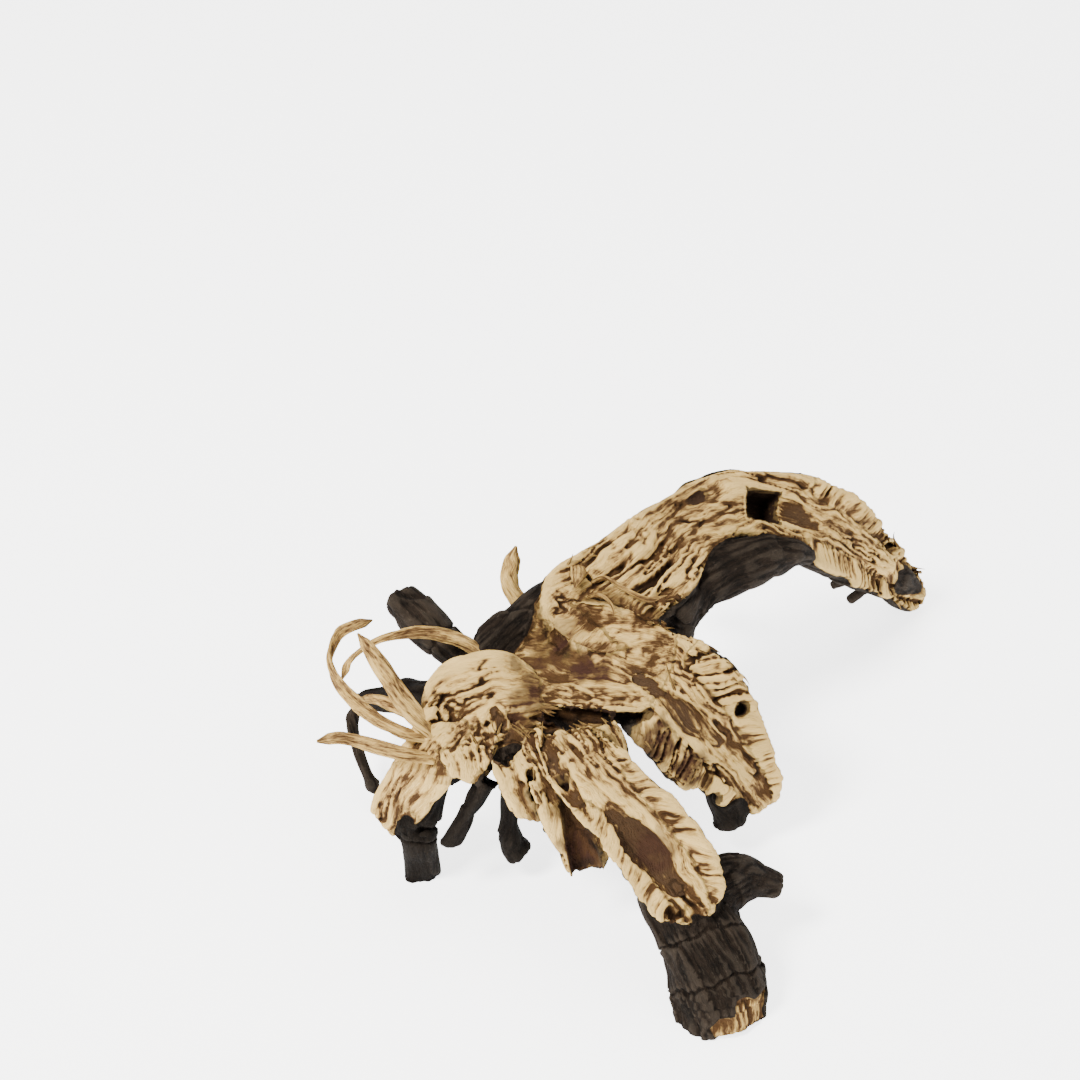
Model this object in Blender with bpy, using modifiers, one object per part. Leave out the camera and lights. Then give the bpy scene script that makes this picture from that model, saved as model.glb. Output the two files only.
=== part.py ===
# A dried cimicifuga rhizome, split lengthwise: one grown piece, lying with its pale split face up.
# Lobes with a flat split face and a round bark back are lofted and fused with bark-covered roots,
# gouged where the flesh has rotted away, given a raised net, and cut flat where they rest.
# Design lengths are in millimetres, in the frame of the piece as it lies, +Z up.

import math

import bmesh
import bpy
import numpy as np
from mathutils import Matrix, Vector, noise

MM = 0.001
NAME = "rhizome"
COLLECTION = "cimicifuga_rhizome"
SPACING = 1.2  # between two sections of a loft or two points of a tube
VOXEL = 0.8  # grid of the fusing
BODY_TRIANGLES = 9800
BLEND = 3.0  # width of the soft change from one lobe's relief to the next
FACE_EDGE = (-1.9, -0.7)  # height over the split face at which bark turns into flesh

# The raised net of the split face, larger than life so that it holds in few triangles.
NET_LONG = 12.0
NET_WIDE = 4.6
NET_DEPTH = 2.2
# The lengthwise ridges of the bark.
BARK_LONG = 16.0
BARK_WIDE = 3.6
BARK_DEPTH = 0.9

# Short broken-off root bases on the underside.
STUB_SEED = 5
STUB_TRIES = 14  # for each lobe
STUB_GAP = 8.5
STUB_SIDES = 5
STUB_ANGLES = (0.9, 2.7)  # round a lobe's back, in radians
STUB_SLOPE = -0.3  # a stub points down at least this steeply
STUB_RADIUS = (0.9, 1.5)
STUB_LENGTH = (2.4, 5.5)
STUB_CLEARANCE = 2.5  # least height of a stub's tip over the resting plane

BLOCK_SIZE = 300

FLESH = (0.56, 0.42, 0.25)
FLESH_ROUGHNESS = 0.85

# Each lobe: rows of (x, y, z of the split face's middle, half width, depth behind), the way its face
# looks (elevation, turn from -Y) at its two ends, the depth of its dish, and its share of the net.
LOBES = {
    "arm": {
        "rows": [
            (-17, -5, 44, 9.5, 11),
            (-8.5, 2.2, 46.4, 10.8, 13),
            (0.5, 10.6, 48.8, 9.6, 14),
            (8.5, 21.8, 49.6, 7.6, 14),
            (16, 29.1, 49.3, 6.8, 14),
            (23, 32.6, 47.5, 6.9, 14),
            (32.3, 35.2, 43.2, 8.3, 12),
            (42.4, 39.8, 34.5, 8.5, 10.5),
            (51.3, 46.3, 23, 7, 9),
            (57.7, 52.6, 13, 5, 8),
            (61.9, 56.8, 6.6, 4.6, 7),
            (64.8, 60, 2.8, 3.6, 5),
        ],
        "looks": [(64, 2), (38, 16)],
        "dish": 0.6,
        "net": 1.0,
        "square": 0.62,
    },
    "centre": {
        "rows": [
            (-32, -6, 37, 6, 9),
            (-27.6, -5, 39.5, 9, 12),
            (-17, -8, 42, 12, 16),
            (-6, -10.3, 42.3, 11.6, 18),
            (2, -10.6, 41.2, 9, 15),
            (7, -11, 38, 6, 11),
        ],
        "looks": [(65, -8), (58, 4)],
        "dish": 2.4,
        "net": 0.3,
    },
    "right": {
        "rows": [
            (-5, -6, 40, 9, 12),
            (0.1, -10.8, 39.6, 10.5, 14),
            (6.5, -17, 37, 11.5, 14),
            (12.1, -18.6, 30, 11, 13),
            (17.6, -17.9, 21.5, 8.4, 11),
            (22, -16.4, 13.5, 5.8, 8),
            (24, -16.2, 9.6, 4.2, 6),
        ],
        "looks": [(52, 2), (24, 12)],
        "dish": 0.6,
        "net": 1.0,
    },
    "lower": {
        "rows": [
            (-17.5, -24, 36.6, 6.5, 10),
            (-10.4, -37, 36.8, 7.2, 12),
            (-3.2, -44.1, 32.8, 7.5, 13),
            (2.4, -48.6, 27, 8.1, 13),
            (6.3, -52.6, 22, 7.6, 11),
            (9, -56.2, 18.5, 5.5, 8),
        ],
        "looks": [(56, 0), (40, 2)],
        "dish": 0.5,
        "net": 0.8,
    },
    "middle": {
        "rows": [
            (-19, -26.6, 35.6, 6, 8),
            (-16, -34.5, 33.5, 6, 8),
            (-13.6, -38.5, 26.5, 5.4, 7.5),
            (-11.8, -41, 20, 4.8, 6.5),
            (-10.9, -42.5, 15.5, 4.2, 5),
        ],
        "looks": [(48, 0), (26, 4)],
        "dish": 0.2,
        "net": 0.6,
    },
    "small": {
        "rows": [
            (-26, -24.5, 36, 6, 8),
            (-22, -32.5, 34, 6, 8),
            (-19.8, -35.5, 28, 5.4, 7),
            (-19, -36.5, 24.5, 4, 5),
        ],
        "looks": [(46, -6), (30, 0)],
        "dish": 0.4,
        "net": 0.6,
    },
    "heel": {
        "rows": [
            (-34, -17.5, 36, 7, 9),
            (-31.5, -27, 33.5, 7, 9),
            (-30.5, -30, 28, 5.4, 7),
        ],
        "looks": [(46, -8), (36, -6)],
        "dish": 0.2,
        "net": 0.6,
    },
    "left": {
        "rows": [
            (-32, -16.5, 36, 6.5, 9),
            (-37.5, -23.5, 35, 6, 9),
            (-42.2, -26.1, 27.5, 5.4, 9),
            (-46.8, -26.2, 18.5, 5, 8.5),
            (-49.6, -25.4, 11.5, 4.4, 7),
        ],
        "looks": [(50, -12), (26, -18)],
        "dish": 0.3,
        "net": 0.7,
    },
    "bridge": {
        "rows": [
            (-22, -15, 36, 7, 10),
            (-15, -19.5, 35, 7.4, 10),
            (-10, -25.5, 34, 5.8, 10),
            (-8.5, -31.5, 32.5, 4.8, 9),
        ],
        "looks": [(54, 4), (50, 4)],
        "dish": 0.3,
        "net": 0.9,
    },
    "knot": {
        "rows": [
            (-17, -13.5, 37.5, 8, 12),
            (-26, -17.5, 39.2, 9, 13),
            (-34, -19, 37.3, 9, 12),
            (-41, -20, 32.5, 7.5, 8),
        ],
        "looks": [(60, -4), (46, -16)],
        "dish": -0.3,
        "net": 0.35,
    },
}

# Each limb is a round tube covered in bark: rows of (x, y, z, radius).
LIMBS = {
    "stem": [
        (1.5, -36, 20, 7.6),
        (5.5, -45, 15, 7.9),
        (9.8, -52.6, 9.5, 8.3),
        (11.9, -56.6, 4.5, 8.6),
        (12.8, -59.5, -2.5, 8.8),
    ],
    "stem_stub": [(9, -46, 15, 7.2), (15, -42.5, 15.6, 5.4), (20, -41, 14.2, 3.2), (24, -40.3, 12.2, 2.5)],
    "stem_boss": [(12, -56, 7, 5), (18, -54.5, 6, 3), (20, -54, 5.6, 2)],
    "rim_root": [
        (-35, -8, 33, 3),
        (-32.4, -4.7, 36, 3.4),
        (-24.2, 2.9, 40, 3.7),
        (-13.2, 11.2, 43.5, 3.7),
        (-2.4, 19.2, 44, 3.6),
    ],
    "left_leg": [
        (-41, -21, 21, 4.4),
        (-43.2, -24.5, 12, 3.9),
        (-42.8, -24, 5, 3.4),
        (-42.6, -23.9, -2.5, 3.3),
    ],
    "heel_root": [(-29.5, -27, 27, 2.8), (-33, -28.5, 20, 2), (-37.5, -29.5, 12, 1.8)],
    "small_root": [
        (-24.5, -26.5, 30, 3),
        (-25.2, -25, 18, 2.3),
        (-25.4, -24.5, 9, 2.1),
        (-23.6, -24.5, 6, 2.8),
    ],
    "right_leg": [
        (12.5, -8, 24, 4.6),
        (13.6, -11.5, 17, 4.3),
        (15.6, -16, 10.5, 3.7),
        (16.6, -17.6, 6.5, 3.2),
    ],
    "arm_bark": [
        (3.5, 6, 37, 6),
        (8.1, 13.5, 38, 5.4),
        (13.7, 17.3, 40, 5.4),
        (19, 19.9, 41, 5),
        (24.5, 23.2, 41, 4.2),
        (29.7, 25.9, 40, 3.2),
        (34, 29, 37, 2.2),
    ],
    "cut_root": [
        (-30, -3, 30, 3.4),
        (-34.5, 0.5, 33, 3.5),
        (-41.3, 6.5, 36.5, 3.5),
        (-47.5, 12.5, 39, 3.8),
    ],
    "low_root": [
        (-26, -9, 34, 3.6),
        (-34, -3, 27, 3.3),
        (-42, 2.5, 22, 3),
        (-50, 7.5, 18, 2.7),
        (-57.5, 10, 14.5, 2.3),
    ],
    "back_root": [(-4, 1, 35, 4.4), (-6, 14, 18, 3.2), (-9, 21, 9, 2.6)],
    "arm_root": [(11, 25, 42, 4), (11, 31, 35, 3.4), (9, 38, 28, 2.8), (6, 45, 21, 2.2)],
    "arm_foot": [(55, 55, 12, 3.8), (59.5, 61.6, 5, 3.5), (60.5, 64, -2.5, 3.4)],
}

# What has rotted or split away, as round gouges in a lobe's own frame: rows of (share of its length,
# place across from -1 to 1, height over the face in millimetres, radius).
GOUGES = {
    "arm_hollow": ("arm", [(0.49, 0, 0.8, 2.4), (0.54, 0.05, 0.5, 2.6), (0.59, 0.1, 0.9, 1.4)]),
    "arm_pits": ("arm", [(0.345, -0.5, 0.4, 0.8), (0.37, -0.5, 0.3, 1.3)]),
    "arm_base": ("arm", [(0.14, 0.5, 0.9, 1.2), (0.18, 0.75, 0.5, 1.8), (0.22, 0.95, 0.6, 1.4)]),
    "right_trough": (
        "right",
        [(0.12, 0.2, 0.9, 1.2), (0.3, 0.15, 0.9, 2.4), (0.46, 0.1, 0.9, 2.6), (0.6, -0.05, 1, 1.4)],
    ),
    "right_hole": ("right", [(0.52, -0.72, 1.5, 1.5), (0.54, -0.68, -2.5, 1.4)]),
    "ring_hole": ("right", [(0.76, 0.95, 1, 1.9), (0.78, 0.95, -4, 1.7)]),
    "lower_trough": ("lower", [(0.42, 0.3, 0.8, 1.4), (0.64, 0.22, 0, 3.3), (0.86, 0.12, 0.5, 1.6)]),
    "fold": (
        "lower",
        [(0.02, 0.5, 1.5, 1.2), (0.16, 0.6, 0.4, 1.8), (0.32, 0.72, 0.3, 1.8), (0.44, 0.8, 0.6, 1.1)],
    ),
    "middle_split": ("middle", [(0.34, 0, 0.6, 1.5), (0.6, 0, -0.2, 2.4), (1.04, 0, -0.4, 2.8)]),
    "small_split": ("small", [(0.45, 0, 0.3, 1.2), (0.8, 0, -0.2, 1.8)]),
    "arch": (
        "centre",
        [(0.3, 1, -1.2, 1.0), (0.46, 1.02, -1.8, 1.7), (0.64, 1.04, -2.2, 2.0), (0.84, 1.04, -2.4, 1.6)],
    ),
    "heel_notch": ("heel", [(0.2, -0.8, 1.6, 1.2), (0.6, -0.9, 0, 2.2), (1.05, -0.9, -0.6, 2.4)]),
}

# The squarish hole near the crown of the arm: its place in the lobe, and its size along, across and deep.
ARM_HOLE = {"lobe": "arm", "share": 0.472, "across": 0.05, "over": -3.0, "size": (8.2, 6.4, 12)}

# Thin dried rootlets that curl out of the left end: rows of (x, y, z, radius).
ROOTLET_SIDES = 6
ROOTLET_SPACING = 3.4
ROOTLET_SIDEWAYS = (0.2, 0.3, 1)
ROOTLETS = {
    "long_arc": [
        (-39.5, -21.5, 32, 1.5),
        (-44.9, -23, 34.5, 1.3),
        (-51.5, -19.6, 36, 1.15),
        (-56.9, -14.2, 38, 1.05),
        (-59.5, -8.3, 40, 1),
        (-58.3, -2.3, 41, 0.95),
        (-55.3, 0.7, 41, 0.9),
        (-52.2, 3.9, 40, 0.7),
    ],
    "arch_over": [
        (-28.5, -6.5, 36, 1.4),
        (-32.9, -4.6, 40, 1.2),
        (-38, -3.8, 42, 1.1),
        (-43.6, -4, 43, 1.05),
        (-50.2, -4.8, 42, 1),
        (-55.4, -5.6, 38.5, 0.9),
        (-57.6, -7.4, 34.5, 0.7),
    ],
    "splinter": [
        (-39, -22, 31, 1.8),
        (-42.4, -21.5, 36.5, 1.7),
        (-46.4, -17.6, 39.8, 1.6),
        (-50.4, -13, 43.6, 1.4),
        (-54, -8.4, 46.4, 0.7),
    ],
    "low_splinter": [
        (-40, -25, 30, 1.5),
        (-46.6, -26.4, 32.6, 1.3),
        (-56, -23.6, 33.6, 1.2),
        (-61.2, -23.6, 33, 1),
    ],
    "short_curl": [
        (-38, -19, 31, 1.3),
        (-43.6, -18, 34.2, 1.1),
        (-49.4, -13.4, 34, 0.95),
        (-54, -8.6, 31, 0.7),
    ],
    "thin_root": [
        (-55, 9, 15.5, 1.1),
        (-57.4, 6, 13, 1),
        (-56, 1.6, 8.6, 0.9),
        (-54, -2.6, 5.6, 1),
        (-53, -4.4, 4.4, 1.7),
        (-52.4, -5.4, 3.8, 1.2),
    ],
    "upright_stub": [
        (-22.5, 6.5, 39.5, 2),
        (-25.6, 9.6, 43, 1.6),
        (-25.4, 12, 47, 1.4),
        (-24.6, 13.6, 50.5, 0.9),
    ],
}


def smooth_rows(rows, spacing=SPACING):
    """Rows read off a smooth curve through the given rows, about one spacing apart."""
    rows = [np.array(row, float) for row in rows]
    rows = [2 * rows[0] - rows[1], *rows, 2 * rows[-1] - rows[-2]]
    out = []
    for a, b, c, d in zip(rows, rows[1:], rows[2:], rows[3:]):
        steps = max(2, round(np.linalg.norm((c - b)[:3]) / spacing))
        for step in range(steps):
            u = step / steps
            bend = (2 * a - 5 * b + 4 * c - d) * u**2 + (3 * b - a - 3 * c + d) * u**3
            out.append(0.5 * (2 * b + (c - a) * u + bend))
    out.append(rows[-2])
    return np.array(out)


def direction(elevation, turn):
    """A unit vector, turn 0 being towards -Y."""
    e, a = math.radians(elevation), math.radians(turn)
    return np.array([math.sin(a) * math.cos(e), -math.cos(a) * math.cos(e), math.sin(e)])


def unit(v):
    return v / np.linalg.norm(v, axis=-1, keepdims=True)


def smoothstep(low, high, x):
    u = np.clip((x - low) / (high - low), 0, 1)
    return u * u * (3 - 2 * u)


def run_lengths(points):
    """Distance along a line of points, from its first."""
    return np.concatenate([[0], np.cumsum(np.linalg.norm(np.diff(points, axis=0), axis=1))])


def lobe_frames(lobe):
    """Samples along a lobe: face middle with half width and depth, tangent, and the way the face looks."""
    rows = smooth_rows(lobe["rows"])
    along = unit(np.gradient(rows[:, :3], axis=0))
    share = np.linspace(0, 1, len(rows))[:, None]
    first, last = (direction(*look) for look in lobe["looks"])
    outward = (1 - share) * first + share * last
    outward = unit(outward - along * (outward * along).sum(1, keepdims=True))
    run = run_lengths(rows[:, :3])
    to_end = np.minimum(run, run[-1] - run)
    rounding = np.sqrt(1 - (1 - np.clip(to_end / (0.8 * rows[:, 3]), 0, 1)) ** 2)
    rows[:, 3:] *= np.maximum(rounding, 0.3)[:, None]
    return rows, along, outward


def back_place(lobe, angle):
    """Shares of the half width and the depth at an angle round a lobe's back, which may be squarish."""
    wide = abs(math.cos(angle)) ** lobe.get("square", 1)
    return math.copysign(wide, math.cos(angle)), math.sin(angle) ** lobe.get("square", 1)


def loft_lobe(bm, lobe, front=9, back=11):
    """Adds a closed D-section loft: the split face in front, the bark back behind."""
    rows, along, outward = lobe_frames(lobe)
    rings = []
    for row, side, out in zip(rows, np.cross(along, outward), outward):
        centre, half, deep = row[:3], row[3], row[4]
        ring = []
        for k in range(front):
            t = -1 + 2 * k / (front - 1)
            ring.append(centre + side * half * t - out * lobe["dish"] * (1 - t * t))
        for k in range(1, back):
            wide, far = back_place(lobe, math.pi * k / back)
            ring.append(centre + side * half * wide - out * deep * far)
        rings.append([bm.verts.new(p) for p in ring])
    for one, two in zip(rings, rings[1:]):
        for k in range(len(one)):
            n = (k + 1) % len(one)
            bm.faces.new((one[k], two[k], two[n], one[n]))
    bm.faces.new(rings[0])
    bm.faces.new(list(reversed(rings[-1])))


def gouge_rows(lobe, rows):
    """A gouge's rows in millimetres, from rows in its lobe's frame."""
    samples, along, outward = lobe_frames(lobe)
    sideways = np.cross(along, outward)
    run = run_lengths(samples[:, :3])
    placed = []
    for share, across, over, radius in rows:
        near = np.argmin(np.abs(run - share * run[-1]))
        beyond = along[near] * (share * run[-1] - run[near])
        face = samples[near, :3] + beyond + sideways[near] * samples[near, 3] * across
        depth = lobe["dish"] * max(0, 1 - across**2)
        placed.append((*(face + outward[near] * (over - depth)), radius))
    return placed


def square_hole(bm, hole):
    """A box cutter that stands in a lobe's own frame."""
    lobe = LOBES[hole["lobe"]]
    samples, along, outward = lobe_frames(lobe)
    run = run_lengths(samples[:, :3])
    near = np.argmin(np.abs(run - hole["share"] * run[-1]))
    sideways = np.cross(along[near], outward[near])
    middle = samples[near, :3] + sideways * samples[near, 3] * hole["across"] + outward[near] * hole["over"]
    turn = Matrix(np.column_stack([along[near], sideways, outward[near]]).tolist()).to_4x4()
    place = Matrix.Translation(middle) @ turn @ Matrix.Diagonal((*hole["size"], 1))
    bmesh.ops.create_cube(bm, size=1, matrix=place)


def tube_mesh(name, rows, resolution=3, spacing=SPACING):
    """A mesh made from a curve object with a bevel, its caps welded."""
    curve = bpy.data.curves.new(name, "CURVE")
    curve.dimensions = "3D"
    curve.bevel_depth = 1
    curve.bevel_resolution = resolution
    curve.use_fill_caps = True
    spline = curve.splines.new("POLY")
    points = smooth_rows(rows, spacing)
    spline.points.add(len(points) - 1)
    for point, row in zip(spline.points, points):
        point.co = (*row[:3], 1)
        point.radius = row[3]
    guide = bpy.data.objects.new(name, curve)
    bpy.context.scene.collection.objects.link(guide)
    bpy.context.view_layer.update()
    mesh = bpy.data.meshes.new_from_object(guide.evaluated_get(bpy.context.evaluated_depsgraph_get()))
    bpy.data.objects.remove(guide)
    bm = bmesh.new()
    bm.from_mesh(mesh)
    bmesh.ops.remove_doubles(bm, verts=bm.verts, dist=1e-4)
    bmesh.ops.recalc_face_normals(bm, faces=bm.faces)
    bm.to_mesh(mesh)
    bm.free()
    return mesh


def add_tubes(bm, tubes):
    for name, rows in tubes.items():
        tube = tube_mesh(name, rows)
        bm.from_mesh(tube)
        bpy.data.meshes.remove(tube)


def new_object(name, bm, collection):
    mesh = bpy.data.meshes.new(name)
    bm.to_mesh(mesh)
    bm.free()
    obj = bpy.data.objects.new(name, mesh)
    collection.objects.link(obj)
    return obj


def new_collection(name):
    collection = bpy.data.collections.new(name)
    bpy.context.scene.collection.children.link(collection)
    return collection


def hide_cutter(obj):
    obj.hide_render = True
    obj.display_type = "WIRE"


def apply_modifiers(obj):
    bpy.context.view_layer.update()
    mesh = bpy.data.meshes.new_from_object(obj.evaluated_get(bpy.context.evaluated_depsgraph_get()))
    obj.modifiers.clear()
    obj.data = mesh


def fuse(obj, voxel, smoothing):
    """Joins what overlaps by a voxel remesh, and rounds the joins."""
    remesh = obj.modifiers.new("fuse", "REMESH")
    remesh.mode = "VOXEL"
    remesh.voxel_size = voxel
    if smoothing:
        smooth = obj.modifiers.new("soften", "SMOOTH")
        smooth.factor = 0.5
        smooth.iterations = smoothing
    apply_modifiers(obj)


def boolean(obj, other, operation, solver="EXACT"):
    modifier = obj.modifiers.new(other.name, "BOOLEAN")
    modifier.operation = operation
    modifier.solver = solver
    modifier.object = other
    apply_modifiers(obj)


def vertex_arrays(obj):
    count = len(obj.data.vertices)
    points = np.empty(count * 3, np.float32)
    normals = np.empty(count * 3, np.float32)
    obj.data.vertices.foreach_get("co", points)
    obj.data.vertex_normals.foreach_get("vector", normals)
    return points.reshape(-1, 3).astype(float), normals.reshape(-1, 3).astype(float)


def nearest_samples(points, samples, block=20000):
    chosen = [
        np.argmin(((points[i : i + block, None] - samples) ** 2).sum(2), axis=1)
        for i in range(0, len(points), block)
    ]
    return np.concatenate(chosen)


def lobe_fields(points, lobe):
    """Each point's place in a lobe: along, across and over its face, share of the length, half width."""
    rows, along, outward = lobe_frames(lobe)
    sideways = np.cross(along, outward)
    near = nearest_samples(points, rows[:, :3])
    offset = points - rows[near, :3]
    half, deep = rows[near, 3], rows[near, 4]
    beyond = (offset * along[near]).sum(1)
    run = run_lengths(rows[:, :3])[near] + beyond
    across = (offset * sideways[near]).sum(1)
    over = (offset * outward[near]).sum(1)
    share = across / half
    gap = (
        np.maximum(np.abs(across) - half, 0) ** 2
        + np.maximum(over, 0) ** 2
        + np.maximum(-over - deep, 0) ** 2
        + np.maximum(np.abs(beyond) - SPACING, 0) ** 2
    )
    over = over + lobe["dish"] * np.clip(1 - share**2, 0, 1)
    return run, across, over, share, np.exp(-gap / BLEND**2)


def cell_borders(coordinates):
    """1 along the borders between irregular cells, falling to 0 inside them."""
    gaps = np.empty(len(coordinates))
    for i, place in enumerate(coordinates):
        first, second = noise.voronoi(Vector(place))[0][:2]
        gaps[i] = second - first
    return 1 - smoothstep(0.04, 0.5, gaps)


def face_net(run, across, over, share, seed):
    """The raised net: strands run along the middle of a lobe and turn outward towards its rim."""
    middle = cell_borders(np.column_stack([run / NET_LONG, across / NET_WIDE, over / NET_WIDE + seed]))
    rim = cell_borders(np.column_stack([run / NET_WIDE, across / NET_LONG, over / NET_LONG + seed]))
    mix = smoothstep(0.4, 0.8, np.abs(share))
    return (1 - mix) * middle + mix * rim


def bark_ridges(run, across, over, seed):
    coordinates = np.column_stack([run / BARK_LONG, across / BARK_WIDE, over / BARK_WIDE + seed])
    ridges = np.array([noise.noise(Vector(place)) for place in coordinates])
    lumps = np.array([noise.noise(Vector(place)) for place in coordinates * (1.5, 0.35, 0.35) + 7])
    return 0.6 * ridges + 0.8 * lumps


def on_limbs(points):
    """How surely each point lies on the bark of a limb and not on a lobe."""
    sure = np.zeros(len(points))
    for rows in LIMBS.values():
        samples = smooth_rows(rows)
        near = nearest_samples(points, samples[:, :3])
        away = np.linalg.norm(points - samples[near, :3], axis=1) - samples[near, 3]
        sure = np.maximum(sure, 1 - smoothstep(0.5, 1.2, np.abs(away)))
    return sure


def sculpt(obj):
    """Raises the net on the split faces and the ridges on the bark."""
    points, normals = vertex_arrays(obj)
    bark_only = on_limbs(points)
    height = np.zeros(len(points))
    total = np.zeros(len(points))
    for seed, lobe in enumerate(LOBES.values()):
        run, across, over, share, nearness = lobe_fields(points, lobe)
        use = np.flatnonzero(nearness > 0.02)
        run, across, over, share = run[use], across[use], over[use], share[use]
        flesh = smoothstep(*FACE_EDGE, over) * (1 - bark_only[use])
        net = (face_net(run, across, over, share, 3.7 * seed) - 0.6) * NET_DEPTH * lobe["net"]
        bark = bark_ridges(run, across, over, 3.7 * seed) * BARK_DEPTH
        height[use] += nearness[use] * (flesh * net + (1 - flesh) * bark)
        total[use] += nearness[use]
    moved = points + normals * (height / np.maximum(total, 0.3))[:, None]
    obj.data.vertices.foreach_set("co", moved.ravel())
    obj.data.update()


def decimate(obj, triangles):
    modifier = obj.modifiers.new("thin_out", "DECIMATE")
    modifier.ratio = triangles / (2 * len(obj.data.vertices))
    modifier.use_collapse_triangulate = True
    apply_modifiers(obj)


def underside_stubs(bm):
    """Broken root bases, spread over the backs of the lobes that face down, each a short tapering cone."""
    rng = np.random.default_rng(STUB_SEED)
    placed = []
    for lobe in LOBES.values():
        samples, along, outward = lobe_frames(lobe)
        sideways = np.cross(along, outward)
        for _ in range(STUB_TRIES):
            near, angle = rng.integers(2, len(samples) - 2), rng.uniform(*STUB_ANGLES)
            length, radius = rng.uniform(*STUB_LENGTH), rng.uniform(*STUB_RADIUS)
            half, deep = samples[near, 3:]
            wide, far = back_place(lobe, angle)
            base = Vector(samples[near, :3] + sideways[near] * half * wide - outward[near] * deep * far)
            level = sideways[near] * deep * math.cos(angle)
            out = Vector(level - outward[near] * half * math.sin(angle)).normalized()
            near_others = any((base - other).length < STUB_GAP for other in placed)
            if near_others or out.z > STUB_SLOPE or (base + out * length).z < STUB_CLEARANCE:
                continue
            placed.append(base)
            sunk = 3 * radius
            turn = out.to_track_quat("Z", "Y").to_matrix().to_4x4()
            bmesh.ops.create_cone(
                bm,
                cap_ends=True,
                segments=STUB_SIDES,
                radius1=radius * 1.4,
                radius2=radius * 0.6,
                depth=length + sunk,
                matrix=Matrix.Translation(base + out * (length - sunk) / 2) @ turn,
            )


def rootlet(name, rows, collection):
    """A thin root of few sides, as a closed body of its own."""
    samples = smooth_rows(rows, ROOTLET_SPACING)
    bm = bmesh.new()
    rings = []
    for row, axis in zip(samples, unit(np.gradient(samples[:, :3], axis=0))):
        side = unit(np.cross(axis, ROOTLET_SIDEWAYS))
        up = np.cross(side, axis)
        turns = [2 * math.pi * n / ROOTLET_SIDES for n in range(ROOTLET_SIDES)]
        rings.append([bm.verts.new(row[:3] + row[3] * (side * math.cos(a) + up * math.sin(a))) for a in turns])
    for one, two in zip(rings, rings[1:]):
        for n in range(ROOTLET_SIDES):
            m = (n + 1) % ROOTLET_SIDES
            bm.faces.new((one[n], two[n], two[m], one[m]))
    bm.faces.new(rings[0])
    bm.faces.new(list(reversed(rings[-1])))
    bmesh.ops.recalc_face_normals(bm, faces=bm.faces)
    return new_object(name, bm, collection)


def ground_block(collection):
    """A block whose top is the plane that the piece rests on."""
    bm = bmesh.new()
    place = Matrix.Translation((0, 0, -BLOCK_SIZE / 2))
    bmesh.ops.create_cube(bm, size=BLOCK_SIZE, matrix=place)
    return new_object("ground", bm, collection)


def join(obj, other):
    boolean(obj, other, "UNION", "MANIFOLD")
    bpy.data.objects.remove(other)


def stand_on_origin(obj):
    """Moves the bottom centre of the bounding box to the origin and turns millimetres into metres."""
    points, _ = vertex_arrays(obj)
    low, high = points.min(axis=0), points.max(axis=0)
    middle = Vector(((low[0] + high[0]) / 2, (low[1] + high[1]) / 2, low[2]))
    obj.data.transform(Matrix.Scale(MM, 4) @ Matrix.Translation(-middle))
    obj.data.update()
    return middle


def flesh_material():
    material = bpy.data.materials.new("dried_flesh")
    material.use_nodes = True
    shader = material.node_tree.nodes["Principled BSDF"]
    shader.inputs["Base Color"].default_value = (*FLESH, 1)
    shader.inputs["Roughness"].default_value = FLESH_ROUGHNESS
    shader.inputs["Metallic"].default_value = 0
    return material


for old in list(bpy.data.objects):
    bpy.data.objects.remove(old)
parts = new_collection(COLLECTION)
helpers = new_collection("cutters")

raw = bmesh.new()
for lobe in LOBES.values():
    loft_lobe(raw, lobe)
bmesh.ops.recalc_face_normals(raw, faces=raw.faces)
add_tubes(raw, LIMBS)
body = new_object(NAME, raw, parts)
fuse(body, VOXEL, 7)
print("fused", len(body.data.vertices), "vertices")

raw = bmesh.new()
add_tubes(raw, {name: gouge_rows(LOBES[lobe], rows) for name, (lobe, rows) in GOUGES.items()})
square_hole(raw, ARM_HOLE)
gouges = new_object("gouges", raw, helpers)
hide_cutter(gouges)
fuse(gouges, VOXEL, 1)
boolean(body, gouges, "DIFFERENCE", "MANIFOLD")
fuse(body, VOXEL, 1)
sculpt(body)
fuse(body, VOXEL, 0)
decimate(body, BODY_TRIANGLES)
print("body of", len(body.data.polygons), "triangles")

stubs = bmesh.new()
underside_stubs(stubs)
join(body, new_object("stubs", stubs, helpers))
for name, rows in ROOTLETS.items():
    join(body, rootlet(name, rows, helpers))
ground = ground_block(helpers)
hide_cutter(ground)
boolean(body, ground, "DIFFERENCE", "MANIFOLD")
SHIFT_MM = stand_on_origin(body)
body.data.materials.clear()
body.data.materials.append(flesh_material())
body.data.shade_smooth()
print("finished body of", len(body.data.polygons), "faces, moved by", [round(v, 3) for v in SHIFT_MM])
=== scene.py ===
# The looks of a dried cimicifuga rhizome, split lengthwise and lying with its pale face up.
# The form is rebuilt finely from the same lobes, roots and gouges as the plain solid, then carved:
# strands and slits on the split face, wrinkles on the bark. Design lengths are millimetres.

import math

import bmesh
import bpy
import numpy as np
from mathutils import Matrix, Vector, kdtree


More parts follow.
